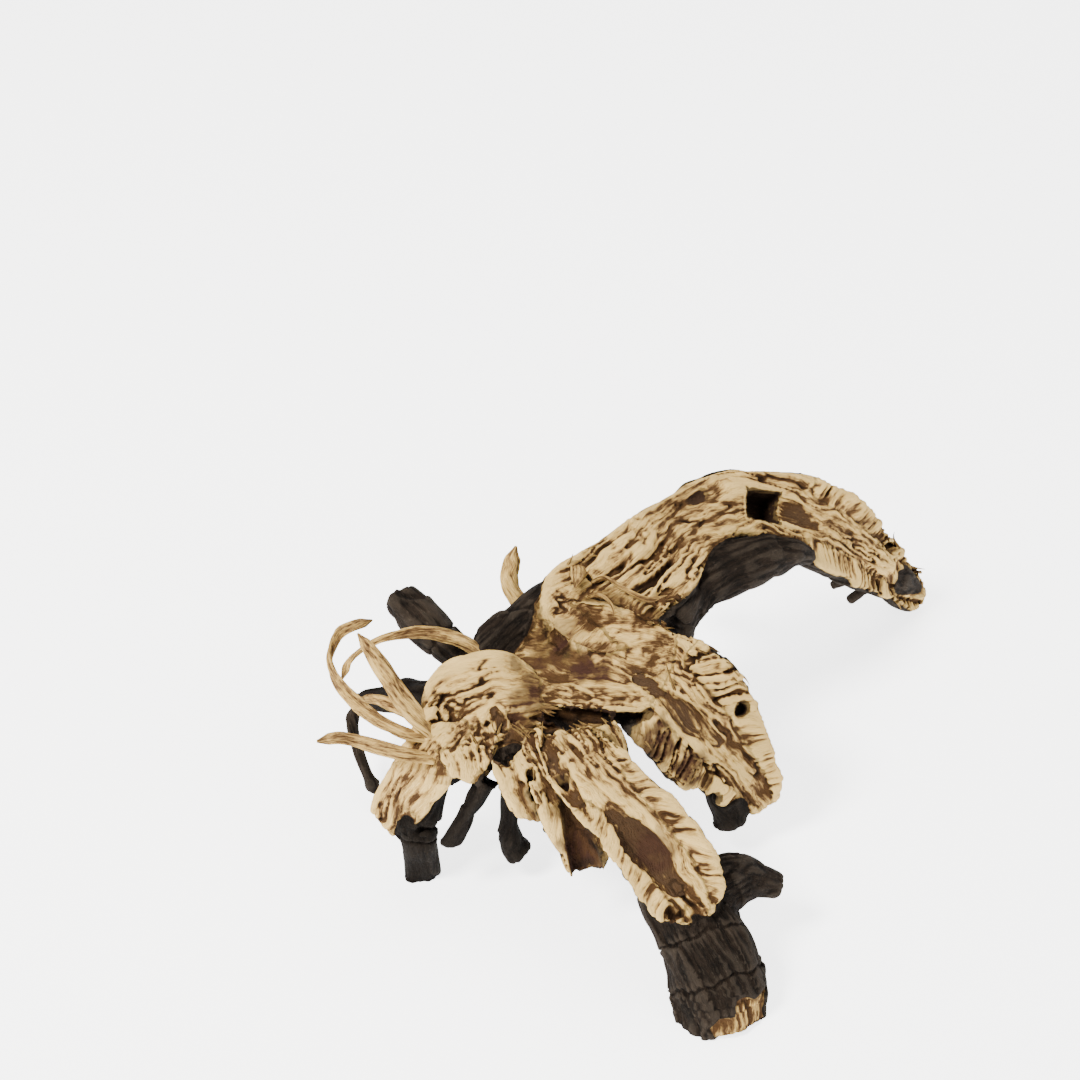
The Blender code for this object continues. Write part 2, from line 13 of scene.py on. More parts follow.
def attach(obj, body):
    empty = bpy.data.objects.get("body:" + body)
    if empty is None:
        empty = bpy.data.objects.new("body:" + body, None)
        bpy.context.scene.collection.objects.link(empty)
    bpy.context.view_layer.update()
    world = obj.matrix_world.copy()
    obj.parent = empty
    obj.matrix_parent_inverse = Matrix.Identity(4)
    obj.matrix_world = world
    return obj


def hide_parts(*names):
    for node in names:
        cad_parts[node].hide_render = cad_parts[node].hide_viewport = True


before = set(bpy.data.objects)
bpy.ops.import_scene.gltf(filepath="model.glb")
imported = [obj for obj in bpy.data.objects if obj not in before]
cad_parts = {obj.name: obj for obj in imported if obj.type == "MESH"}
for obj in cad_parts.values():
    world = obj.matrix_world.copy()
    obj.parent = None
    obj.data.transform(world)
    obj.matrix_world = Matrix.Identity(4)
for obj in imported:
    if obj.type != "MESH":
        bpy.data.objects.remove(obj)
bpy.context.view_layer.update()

mm = 0.001
designShift = (1.425, -0.211, 0)  # from the design's origin to the bottom centre of the plain solid

# How the form is rebuilt
form = {
    "spacing": 1.2,  # between two sections of a lobe
    "voxel": 0.32,  # grid of the fusing
    "rounding": 42,  # smoothing steps that soften the joins
    "triangles": 196000,
    "blend": 3.0,  # soft change from one lobe's relief to the next
    "faceEdge": (-1.9, -0.7),  # height over the split face at which bark turns into flesh
    "block": 300,  # what cuts off all that is under the ground
    "limbEdge": (0.5, 1.2),  # distance from a root's skin at which its bark gives way to the lobes
    "backEdge": (0.74, 0.9),  # how far out in a lobe's section its bark begins
    "rimEdge": (0.7, 1.0),  # share of the half width that counts as the rim
    "hollowEdge": (0.1, 1.1),
    "holeEdge": (0.1, 0.9),
    "meltSteps": 50,
    "meltStrength": 0.5,
    "grooveSteps": 4,  # smoothing steps to which the fine and the broad hollows are measured
    "valleySteps": 40,
}
aside = (0.2, 0.3, 1)  # a way that no root runs, from which its sideways is found

# Each lobe: rows of (x, y, z of the split face's middle, half width, depth behind), the way its face
# looks (elevation, turn from -Y) at its two ends, and the depth of its dish. Some have a squarish back,
# or strands that fan out to the rims: between two shares of the length, and how strongly.
lobes = {
    "arm": {
        "rows": [
            (-17, -5, 44, 9.5, 11), (-8.5, 2.2, 46.4, 10.8, 13), (0.5, 10.6, 48.8, 9.6, 14),
            (8.5, 21.8, 49.6, 7.6, 14), (16, 29.1, 49.3, 6.8, 14), (23, 32.6, 47.5, 6.9, 14),
            (32.3, 35.2, 43.2, 8.3, 12), (42.4, 39.8, 34.5, 8.5, 10.5), (51.3, 46.3, 23, 7, 9),
            (57.7, 52.6, 13, 5, 8), (61.9, 56.8, 6.6, 4.6, 7), (64.8, 60, 2.8, 3.6, 5),
        ],
        "looks": [(64, 2), (38, 16)], "dish": 0.6,
        "square": 0.62,
        "fan": (0.5, 0.62, 1.0),
    },
    "centre": {
        "rows": [
            (-32, -6, 37, 6, 9), (-27.6, -5, 39.5, 9, 12), (-17, -8, 42, 12, 16),
            (-6, -10.3, 42.3, 11.6, 18), (2, -10.6, 41.2, 9, 15), (7, -11, 38, 6, 11),
        ],
        "looks": [(65, -8), (58, 4)], "dish": 2.4,
    },
    "right": {
        "rows": [
            (-5, -6, 40, 9, 12), (0.1, -10.8, 39.6, 10.5, 14), (6.5, -17, 37, 11.5, 14),
            (12.1, -18.6, 30, 11, 13), (17.6, -17.9, 21.5, 8.4, 11), (22, -16.4, 13.5, 5.8, 8),
            (24, -16.2, 9.6, 4.2, 6),
        ],
        "looks": [(52, 2), (24, 12)], "dish": 0.6,
        "fan": (0.1, 0.3, 1.0),
    },
    "lower": {
        "rows": [
            (-17.5, -24, 36.6, 6.5, 10), (-10.4, -37, 36.8, 7.2, 12), (-3.2, -44.1, 32.8, 7.5, 13),
            (2.4, -48.6, 27, 8.1, 13), (6.3, -52.6, 22, 7.6, 11), (9, -56.2, 18.5, 5.5, 8),
        ],
        "looks": [(56, 0), (40, 2)], "dish": 0.5,
        "fan": (0.2, 0.5, 0.9),
    },
    "middle": {
        "rows": [
            (-19, -26.6, 35.6, 6, 8), (-16, -34.5, 33.5, 6, 8), (-13.6, -38.5, 26.5, 5.4, 7.5),
            (-11.8, -41, 20, 4.8, 6.5), (-10.9, -42.5, 15.5, 4.2, 5),
        ],
        "looks": [(48, 0), (26, 4)], "dish": 0.2,
    },
    "small": {
        "rows": [
            (-26, -24.5, 36, 6, 8), (-22, -32.5, 34, 6, 8), (-19.8, -35.5, 28, 5.4, 7),
            (-19, -36.5, 24.5, 4, 5),
        ],
        "looks": [(46, -6), (30, 0)], "dish": 0.4,
    },
    "heel": {
        "rows": [
            (-34, -17.5, 36, 7, 9), (-31.5, -27, 33.5, 7, 9), (-30.5, -30, 28, 5.4, 7),
        ],
        "looks": [(46, -8), (36, -6)], "dish": 0.2,
    },
    "left": {
        "rows": [
            (-32, -16.5, 36, 6.5, 9), (-37.5, -23.5, 35, 6, 9), (-42.2, -26.1, 27.5, 5.4, 9),
            (-46.8, -26.2, 18.5, 5, 8.5), (-49.6, -25.4, 11.5, 4.4, 7),
        ],
        "looks": [(50, -12), (26, -18)], "dish": 0.3,
    },
    "bridge": {
        "rows": [
            (-22, -15, 36, 7, 10), (-15, -19.5, 35, 7.4, 10), (-10, -25.5, 34, 5.8, 10),
            (-8.5, -31.5, 32.5, 4.8, 9),
        ],
        "looks": [(54, 4), (50, 4)], "dish": 0.3,
    },
    "knot": {
        "rows": [
            (-17, -13.5, 37.5, 8, 12), (-26, -17.5, 39.2, 9, 13), (-34, -19, 37.3, 9, 12),
            (-41, -20, 32.5, 7.5, 8),
        ],
        "looks": [(60, -4), (46, -16)], "dish": -0.3,
    },
}

# Each root is a round tube covered in bark: rows of (x, y, z, radius).
limbs = {
    "stem": [
        (1.5, -36, 20, 7.6), (5.5, -45, 15, 7.9), (9.8, -52.6, 9.5, 8.3), (11.9, -56.6, 4.5, 8.6),
        (12.8, -59.5, -2.5, 8.8),
    ],
    "stemStub": [(9, -46, 15, 7.2), (15, -42.5, 15.6, 5.4), (20, -41, 14.2, 3.2), (24, -40.3, 12.2, 2.5)],
    "stemBoss": [(12, -56, 7, 5), (18, -54.5, 6, 3), (20, -54, 5.6, 2)],
    "rimRoot": [
        (-35, -8, 33, 3), (-32.4, -4.7, 36, 3.4), (-24.2, 2.9, 40, 3.7), (-13.2, 11.2, 43.5, 3.7),
        (-2.4, 19.2, 44, 3.6),
    ],
    "leftLeg": [
        (-41, -21, 21, 4.4), (-43.2, -24.5, 12, 3.9), (-42.8, -24, 5, 3.4), (-42.6, -23.9, -2.5, 3.3),
    ],
    "heelRoot": [(-29.5, -27, 27, 2.8), (-33, -28.5, 20, 2), (-37.5, -29.5, 12, 1.8)],
    "smallRoot": [
        (-24.5, -26.5, 30, 3), (-25.2, -25, 18, 2.3), (-25.4, -24.5, 9, 2.1), (-23.6, -24.5, 6, 2.8),
    ],
    "rightLeg": [
        (12.5, -8, 24, 4.6), (13.6, -11.5, 17, 4.3), (15.6, -16, 10.5, 3.7), (16.6, -17.6, 6.5, 3.2),
    ],
    "armBark": [
        (3.5, 6, 37, 6), (8.1, 13.5, 38, 5.4), (13.7, 17.3, 40, 5.4), (19, 19.9, 41, 5),
        (24.5, 23.2, 41, 4.2), (29.7, 25.9, 40, 3.2), (34, 29, 37, 2.2),
    ],
    "cutRoot": [(-30, -3, 30, 3.4), (-34.5, 0.5, 33, 3.5), (-41.3, 6.5, 36.5, 3.5), (-47.5, 12.5, 39, 3.8)],
    "lowRoot": [
        (-26, -9, 34, 3.6), (-34, -3, 27, 3.3), (-42, 2.5, 22, 3), (-50, 7.5, 18, 2.7),
        (-57.5, 10, 14.5, 2.3),
    ],
    "backRoot": [(-4, 1, 35, 4.4), (-6, 14, 18, 3.2), (-9, 21, 9, 2.6)],
    "armRoot": [(11, 25, 42, 4), (11, 31, 35, 3.4), (9, 38, 28, 2.8), (6, 45, 21, 2.2)],
    "armFoot": [(55, 55, 12, 3.8), (59.5, 61.6, 5, 3.5), (60.5, 64, -2.5, 3.4)],
}

# What has rotted or split away, as round gouges in a lobe's own frame: the lobe, how dark the hollow is
# painted (rot brown, and near-black painted shade in the darkest holes and splits), and rows of
# (share of its length, place across from -1 to 1, height over the face, radius).
gouges = {
    "armHollow": ("arm", 0.6, [(0.49, 0, 0.8, 2.4), (0.54, 0.05, 0.5, 2.6), (0.59, 0.1, 0.9, 1.4)]),
    "armPits": ("arm", 0.9, [(0.345, -0.5, 0.4, 0.8), (0.37, -0.5, 0.3, 1.3)]),
    "armBase": (
        "arm",
        0.35,
        [(0.14, 0.5, 0.9, 1.2), (0.18, 0.75, 0.5, 1.8), (0.22, 0.95, 0.6, 1.4)],
    ),
    "rightTrough": (
        "right",
        0.8,
        [(0.12, 0.2, 0.9, 1.2), (0.3, 0.15, 0.9, 2.4), (0.46, 0.1, 0.9, 2.6), (0.6, -0.05, 1, 1.4)],
    ),
    "rightHole": ("right", 1.0, [(0.52, -0.72, 1.5, 1.5), (0.54, -0.68, -2.5, 1.4)]),
    "ringHole": ("right", 1.0, [(0.76, 0.95, 1, 1.9), (0.78, 0.95, -4, 1.7)]),
    "lowerTrough": ("lower", 0.65, [(0.42, 0.3, 0.8, 1.4), (0.64, 0.22, 0, 3.3), (0.86, 0.12, 0.5, 1.6)]),
    "fold": (
        "lower",
        0.8,
        [(0.02, 0.5, 1.5, 1.2), (0.16, 0.6, 0.4, 1.8), (0.32, 0.72, 0.3, 1.8), (0.44, 0.8, 0.6, 1.1)],
    ),
    "middleSplit": ("middle", 1.0, [(0.34, 0, 0.6, 1.5), (0.6, 0, -0.2, 2.4), (1.04, 0, -0.4, 2.8)]),
    "smallSplit": ("small", 0.6, [(0.45, 0, 0.3, 1.2), (0.8, 0, -0.2, 1.8)]),
    "arch": (
        "centre",
        1.0,
        [(0.3, 1, -1.2, 1.0), (0.46, 1.02, -1.8, 1.7), (0.64, 1.04, -2.2, 2.0), (0.84, 1.04, -2.4, 1.6)],
    ),
    "heelNotch": ("heel", 0.7, [(0.2, -0.8, 1.6, 1.2), (0.6, -0.9, 0, 2.2), (1.05, -0.9, -0.6, 2.4)]),
}

# The squarish hole near the crown of the arm: its place in the lobe, its size along, across and deep,
# and how dark it is painted (near-black painted shade inside it)
armHole = {"lobe": "arm", "share": 0.472, "across": 0.05, "over": -3.0, "size": (8.2, 6.4, 12), "dark": 1.0}

# Where the flesh is torn into strands with dark slits between them: (x, y, z, radius, strength)
tornZones = [
    (-0.8, 8.1, 45.2, 9, 1.0), (4.6, 2.0, 45.5, 7, 1.0), (-8.5, 9.0, 49.2, 7, 0.7),
    (8.0, 14.0, 48.0, 6, 0.8), (52.6, 48.1, 21.7, 8, 0.8), (59.5, 54.0, 10.0, 8, 1.0),
    (9.9, -9.6, 42.9, 6, 0.9), (16.5, -13.5, 38.2, 5, 0.9), (1.9, -23.0, 30.9, 6, 0.9),
    (8.0, -22.1, 25.4, 6, 0.8), (13.0, -21.0, 19.0, 5, 0.7), (-17.0, -24.0, 36.0, 8, 1.0),
    (-9.0, -27.0, 36.0, 6, 0.8), (-29.0, -26.0, 34.0, 6, 0.6), (-38.0, -20.0, 36.0, 6, 0.7),
    (-21.0, -35.0, 30.0, 5, 0.7), (5.0, -53.5, 20.0, 4, 0.4),
]

# Purple-brown spots of old rot: (x, y, z, radius, strength)
stains = [
    (-24.3, -11.2, 41.8, 1.9, 0.7), (-20.2, -6.9, 38.9, 2.4, 1.0), (-16.8, -6.7, 40.1, 2.6, 1.0),
    (-21.3, -14.2, 39.5, 2.8, 0.8), (-12.1, -9.6, 39.6, 2.4, 1.0), (-8.6, -10.6, 39.6, 2.2, 0.9),
    (-14.9, -2.7, 42.8, 3.2, 0.5), (-22.2, -18.1, 38.3, 3.6, 0.7), (-23.1, -22.7, 36.2, 3.2, 0.6),
    (1.9, -23.0, 30.9, 4.0, 0.9), (8.0, -22.1, 25.4, 3.6, 0.9), (0.6, -45.4, 26.2, 4.4, 0.7),
    (-13.6, -37.7, 21.4, 4.4, 0.95),
]

# Where the joins of the lobes melt together: (x, y, z, radius, strength)
joins = [
    (-15, -1.5, 45, 11, 1.0), (-4, -1.5, 44, 9, 1.0), (5, 0, 43, 7, 0.7), (-25, -12, 41, 9, 1.0),
    (-18, -20, 37.5, 8, 1.0), (1, -9, 41.5, 9, 1.0), (-36, -20, 36, 8, 0.9), (-13.5, -28, 37, 7, 0.9),
    (-21, -29, 36, 7, 0.9), (-29, -23, 36, 7, 0.9), (4, -50, 18, 5, 0.4),
]

# Broad smooth dishes in the flesh: (x, y, z, radius, depth)
dishes = [
    (-11, -5, 44, 15, 2.6), (-20, -9, 41, 10, 1.2), (2, -8, 42, 9, 1.0),
]

# Roots that lie in shade, their bark darkened nearly black as painted shade: (x, y, z, radius, strength)
shadedRootSpots = [
    (-43, -25, 10, 15, 0.9), (-34, -28, 17, 12, 0.9), (-25, -25, 14, 13, 0.9), (15, -15, 10, 10, 0.8),
    (-52, 4, 14, 16, 0.8), (-4, 20, 12, 14, 0.5),
]

# Broken places where the bark is gone and bare tan wood shows: (x, y, z, radius, strength)
bare = [
    (18.5, -64.0, 3.4, 4.6, 0.9), (14.0, -67.0, 2.0, 3.6, 0.8), (24.0, -40.3, 12.2, 2.0, 0.5),
    (-47.5, 12.5, 39.0, 2.2, 0.4),
]

# Cracks that ring a root: a point on its skin and the way the root runs
rings = [
    ((8.4, -57.3, 16.8), (0.32, -0.72, -0.62)),
    ((10.1, -63.1, 10.2), (0.3, -0.6, -0.74)),
    ((4.0, -47.0, 22.0), (0.4, -0.76, -0.5)),
    ((-43.2, -28.5, 12.0), (-0.1, -0.2, -0.97)),
    ((-38.0, 3.5, 38.0), (-0.7, 0.62, 0.3)),
]


def smoothRows(rows, spacing=form["spacing"]):
    # rows read off a smooth curve through the given rows, about one spacing apart
    rows = [np.array(row, float) for row in rows]
    rows = [2 * rows[0] - rows[1], *rows, 2 * rows[-1] - rows[-2]]
    out = []
    for a, b, c, d in zip(rows, rows[1:], rows[2:], rows[3:]):
        steps = max(2, round(np.linalg.norm((c - b)[:3]) / spacing))
        for step in range(steps):
            u = step / steps
            bend = (2 * a - 5 * b + 4 * c - d) * u**2 + (3 * b - a - 3 * c + d) * u**3
            out.append(0.5 * (2 * b + (c - a) * u + bend))
    out.append(rows[-2])
    return np.array(out)


def direction(elevation, turn):
    e, a = math.radians(elevation), math.radians(turn)
    return np.array([math.sin(a) * math.cos(e), -math.cos(a) * math.cos(e), math.sin(e)])


def unit(v):
    return v / np.maximum(np.linalg.norm(v, axis=-1, keepdims=True), 1e-9)


def smoothstep(low, high, x):
    u = np.clip((x - low) / (high - low), 0, 1)
    return u * u * (3 - 2 * u)


def runLengths(points):
    return np.concatenate([[0], np.cumsum(np.linalg.norm(np.diff(points, axis=0), axis=1))])


def lobeFrames(lobe):
    # samples along a lobe: face middle with half width and depth, tangent, and the way the face looks
    rows = smoothRows(lobe["rows"])
    along = unit(np.gradient(rows[:, :3], axis=0))
    share = np.linspace(0, 1, len(rows))[:, None]
    first, last = (direction(*look) for look in lobe["looks"])
    outward = (1 - share) * first + share * last
    outward = unit(outward - along * (outward * along).sum(1, keepdims=True))
    run = runLengths(rows[:, :3])
    toEnd = np.minimum(run, run[-1] - run)
    rounding = np.sqrt(1 - (1 - np.clip(toEnd / (0.8 * rows[:, 3]), 0, 1)) ** 2)
    rows[:, 3:] *= np.maximum(rounding, 0.3)[:, None]
    return rows, along, outward


def backPlace(lobe, angle):
    # shares of the half width and the depth at an angle round a lobe's back, which may be squarish
    wide = abs(math.cos(angle)) ** lobe.get("square", 1)
    return math.copysign(wide, math.cos(angle)), math.sin(angle) ** lobe.get("square", 1)


def skinRings(bm, rings):
    # faces from each ring of vertices to the next, and one over each end
    for one, two in zip(rings, rings[1:]):
        for n in range(len(one)):
            m = (n + 1) % len(one)
            bm.faces.new((one[n], two[n], two[m], one[m]))
    bm.faces.new(rings[0])
    bm.faces.new(list(reversed(rings[-1])))


def loftLobe(bm, lobe, front=9, back=11):
    # a closed D section: the split face in front, the bark back behind
    rows, along, outward = lobeFrames(lobe)
    rings = []
    for row, side, out in zip(rows, np.cross(along, outward), outward):
        centre, half, deep = row[:3], row[3], row[4]
        ring = []
        for k in range(front):
            t = -1 + 2 * k / (front - 1)
            ring.append(centre + side * half * t - out * lobe["dish"] * (1 - t * t))
        for k in range(1, back):
            wide, far = backPlace(lobe, math.pi * k / back)
            ring.append(centre + side * half * wide - out * deep * far)
        rings.append([bm.verts.new(p) for p in ring])
    skinRings(bm, rings)


def gougeRows(lobe, rows):
    samples, along, outward = lobeFrames(lobe)
    sideways = np.cross(along, outward)
    run = runLengths(samples[:, :3])
    placed = []
    for share, across, over, radius in rows:
        near = np.argmin(np.abs(run - share * run[-1]))
        beyond = along[near] * (share * run[-1] - run[near])
        face = samples[near, :3] + beyond + sideways[near] * samples[near, 3] * across
        depth = lobe["dish"] * max(0, 1 - across**2)
        placed.append((*(face + outward[near] * (over - depth)), radius))
    return placed


def holeFrame():
    # middle of the squarish hole, and its directions along, across and out as columns
    lobe = lobes[armHole["lobe"]]
    samples, along, outward = lobeFrames(lobe)
    run = runLengths(samples[:, :3])
    near = np.argmin(np.abs(run - armHole["share"] * run[-1]))
    sideways = np.cross(along[near], outward[near])
    across = sideways * samples[near, 3] * armHole["across"]
    middle = samples[near, :3] + across + outward[near] * armHole["over"]
    return middle, np.column_stack([along[near], sideways, outward[near]])


def addHole(bm):
    middle, turned = holeFrame()
    turned = Matrix(turned.tolist()).to_4x4()
    place = Matrix.Translation(middle) @ turned @ Matrix.Diagonal((*armHole["size"], 1))
    bmesh.ops.create_cube(bm, size=1, matrix=place)


def addTube(bm, rows, sides=16):
    # a round tube with closed ends
    samples = smoothRows(rows)
    turns = [2 * math.pi * n / sides for n in range(sides)]
    rings = []
    for row, axis in zip(samples, unit(np.gradient(samples[:, :3], axis=0))):
        side = unit(np.cross(axis, aside))
        up = np.cross(side, axis)
        ring = [row[:3] + row[3] * (side * math.cos(a) + up * math.sin(a)) for a in turns]
        rings.append([bm.verts.new(p) for p in ring])
    skinRings(bm, rings)


# Broken root bases on the lobes' backs that face down
stubs = {
    "seed": 5,
    "tries": 14,  # for each lobe
    "gap": 8.5,
    "sides": 9,
    "angles": (0.9, 2.7),  # round a lobe's back
    "slope": -0.3,  # a stub points down at least this steeply
    "radius": (0.9, 1.5),
    "length": (2.4, 5.5),
    "clearance": 2.5,  # least height of its tip
}


def addStubs(bm):
    # spread by a seeded rule in each lobe's own frame, the same as on the plain solid
    rng = np.random.default_rng(stubs["seed"])
    placed = []
    for lobe in lobes.values():
        samples, along, outward = lobeFrames(lobe)
        sideways = np.cross(along, outward)
        for _ in range(stubs["tries"]):
            near, angle = rng.integers(2, len(samples) - 2), rng.uniform(*stubs["angles"])
            length, radius = rng.uniform(*stubs["length"]), rng.uniform(*stubs["radius"])
            half, deep = samples[near, 3:]
            wide, far = backPlace(lobe, angle)
            base = Vector(samples[near, :3] + sideways[near] * half * wide - outward[near] * deep * far)
            level = sideways[near] * deep * math.cos(angle)
            out = Vector(level - outward[near] * half * math.sin(angle)).normalized()
            crowded = any((base - other).length < stubs["gap"] for other in placed)
            if crowded or out.z > stubs["slope"] or (base + out * length).z < stubs["clearance"]:
                continue
            placed.append(base)
            sunk = 3 * radius
            turn = out.to_track_quat("Z", "Y").to_matrix().to_4x4()
            bmesh.ops.create_cone(
                bm,
                cap_ends=True,
                segments=stubs["sides"],
                radius1=radius * 1.5,
                radius2=radius * 0.8,
                depth=length + sunk,
                matrix=Matrix.Translation(base + out * (length - sunk) / 2) @ turn,
            )


def newObject(name, bm):
    bmesh.ops.recalc_face_normals(bm, faces=bm.faces)
    mesh = bpy.data.meshes.new(name)
    bm.to_mesh(mesh)
    bm.free()
    obj = bpy.data.objects.new(name, mesh)
    bpy.context.scene.collection.objects.link(obj)
    return obj


def applyModifiers(obj):
    bpy.context.view_layer.update()
    mesh = bpy.data.meshes.new_from_object(obj.evaluated_get(bpy.context.evaluated_depsgraph_get()))
    obj.modifiers.clear()
    obj.data = mesh


def fuse(obj, voxel, smoothing):
    remesh = obj.modifiers.new("fuse", "REMESH")
    remesh.mode = "VOXEL"
    remesh.voxel_size = voxel
    if smoothing:
        smooth = obj.modifiers.new("soften", "SMOOTH")
        smooth.factor = 0.5
        smooth.iterations = smoothing
    applyModifiers(obj)


def cut(obj, cutter):
    modifier = obj.modifiers.new("cut", "BOOLEAN")
    modifier.operation = "DIFFERENCE"
    modifier.solver = "MANIFOLD"
    modifier.object = cutter
    applyModifiers(obj)
    bpy.data.objects.remove(cutter)


def vertexArrays(obj):
    count = len(obj.data.vertices)
    points = np.empty(count * 3, np.float32)
    normals = np.empty(count * 3, np.float32)
    obj.data.vertices.foreach_get("co", points)
    obj.data.vertex_normals.foreach_get("vector", normals)
    return points.reshape(-1, 3).astype(float), normals.reshape(-1, 3).astype(float)


def nearestSamples(points, samples, block=40000):
    squares = (samples**2).sum(1)
    chosen = []
    for start in range(0, len(points), block):
        part = points[start : start + block]
        chosen.append(np.argmin(squares - 2 * part @ samples.T, axis=1))
    return np.concatenate(chosen)


def cellValues(cells, seed):
    # one repeatable number from -1 to 1 for each cell of a grid
    x, y, z = (cells[:, k].astype(np.int64) & 0xFFFFFFFF for k in range(3))
    mixed = (x * 374761393 + y * 668265263 + z * 1442695041 + seed * 97531) & 0xFFFFFFFF
    mixed = ((mixed ^ (mixed >> 13)) * 1274126177) & 0xFFFFFFFF
    mixed = ((mixed ^ (mixed >> 16)) * 2246822519) & 0xFFFFFFFF
    return ((mixed >> 8) & 0xFFFF) / 32767.5 - 1


def softNoise(places, seed=0):
    # smooth noise from -1 to 1, its lumps one unit apart
    cells = np.floor(places)
    part = places - cells
    part = part * part * (3 - 2 * part)
    total = np.zeros(len(places))
    for corner in np.ndindex(2, 2, 2):
        weight = np.prod(np.where(corner, part, 1 - part), axis=1)
        total += weight * cellValues(cells + corner, seed)
    return total


def stretched(run, first, second, wide, long, seed):
    # noise from about -1 to 1 in strands that wide and that long
    return 2.2 * softNoise(np.column_stack([run / long, first / wide, second / wide]), seed)


# Widths, depths and borders of the carved relief
relief = {
    # each pattern of strands: width, length, seed
    "patterns": {
        "folds": (2.7, 14.0, 100),
        "strands": (0.95, 9.0, 200),
        "threads": (0.55, 6.0, 300),
        "wrinkles": (1.1, 9.0, 400),
        "plates": (4.2, 13.0, 500),
    },
    "bends": [(6.5, 1.1, 60), (2.4, 0.35, 80)],  # how the strands wander: width, height, seed
    "fanAcross": (0.3, 0.6),  # share of the half width from which fanned strands begin
    "fanSlope": (0.82, 0.57),  # how far a fanned strand runs along and across
    "ragged": [(1.3, 0.35, 40), (3.1, 0.25, 41)],  # borders of the spots
    "tornEdge": (0.5, 1.25),
    "meltEdge": (0.3, 1.15),
    "dishEdge": (0.2, 1.0),
    "calm": {"torn": 0.85, "slits": 0.7, "strands": 0.6},  # how much a smooth dish takes away
    "lumpWidth": 9.0,
    "lumpHeight": 0.7,
    "foldHeight": (0.25, 0.8),  # in whole flesh and in torn flesh
    "foldLimit": 1.5,
    "strandHeight": (0.7, 1.1),
    "strandShare": (0.58, 0.42),  # of the strands and of the finer threads in the rounded relief
    "strandMiddle": 0.7,  # relief that leaves the surface where it is
    "slitDepth": 1.3,
    "slitEdge": (0.05, 0.3),
    "slitWidth": 5.0,  # of the patches with and without slits
    "bareDepth": 0.5,
    "barkHeight": 0.42,
    "barkMiddle": 0.6,
    "plateHeight": 0.5,
    "plateEdge": (-0.03, 0.12),
    "ringDepth": 0.6,
    "ringWidth": 0.32,
    "ringWander": [(3.5, 0.9, 30), (1.2, 0.4, 31)],
    "ringReach": (13, 15),
    "barkLumpWidth": 4.6,
    "barkLumpHeight": 0.6,
    "blur": 0.6,  # share of its neighbours that each point of the fine relief takes
}


def layered(places, layers, start=0, shift=0):
    # soft noise summed over layers of (width, height, seed)
    return sum((height * softNoise(places / width, seed + shift) for width, height, seed in layers), start)


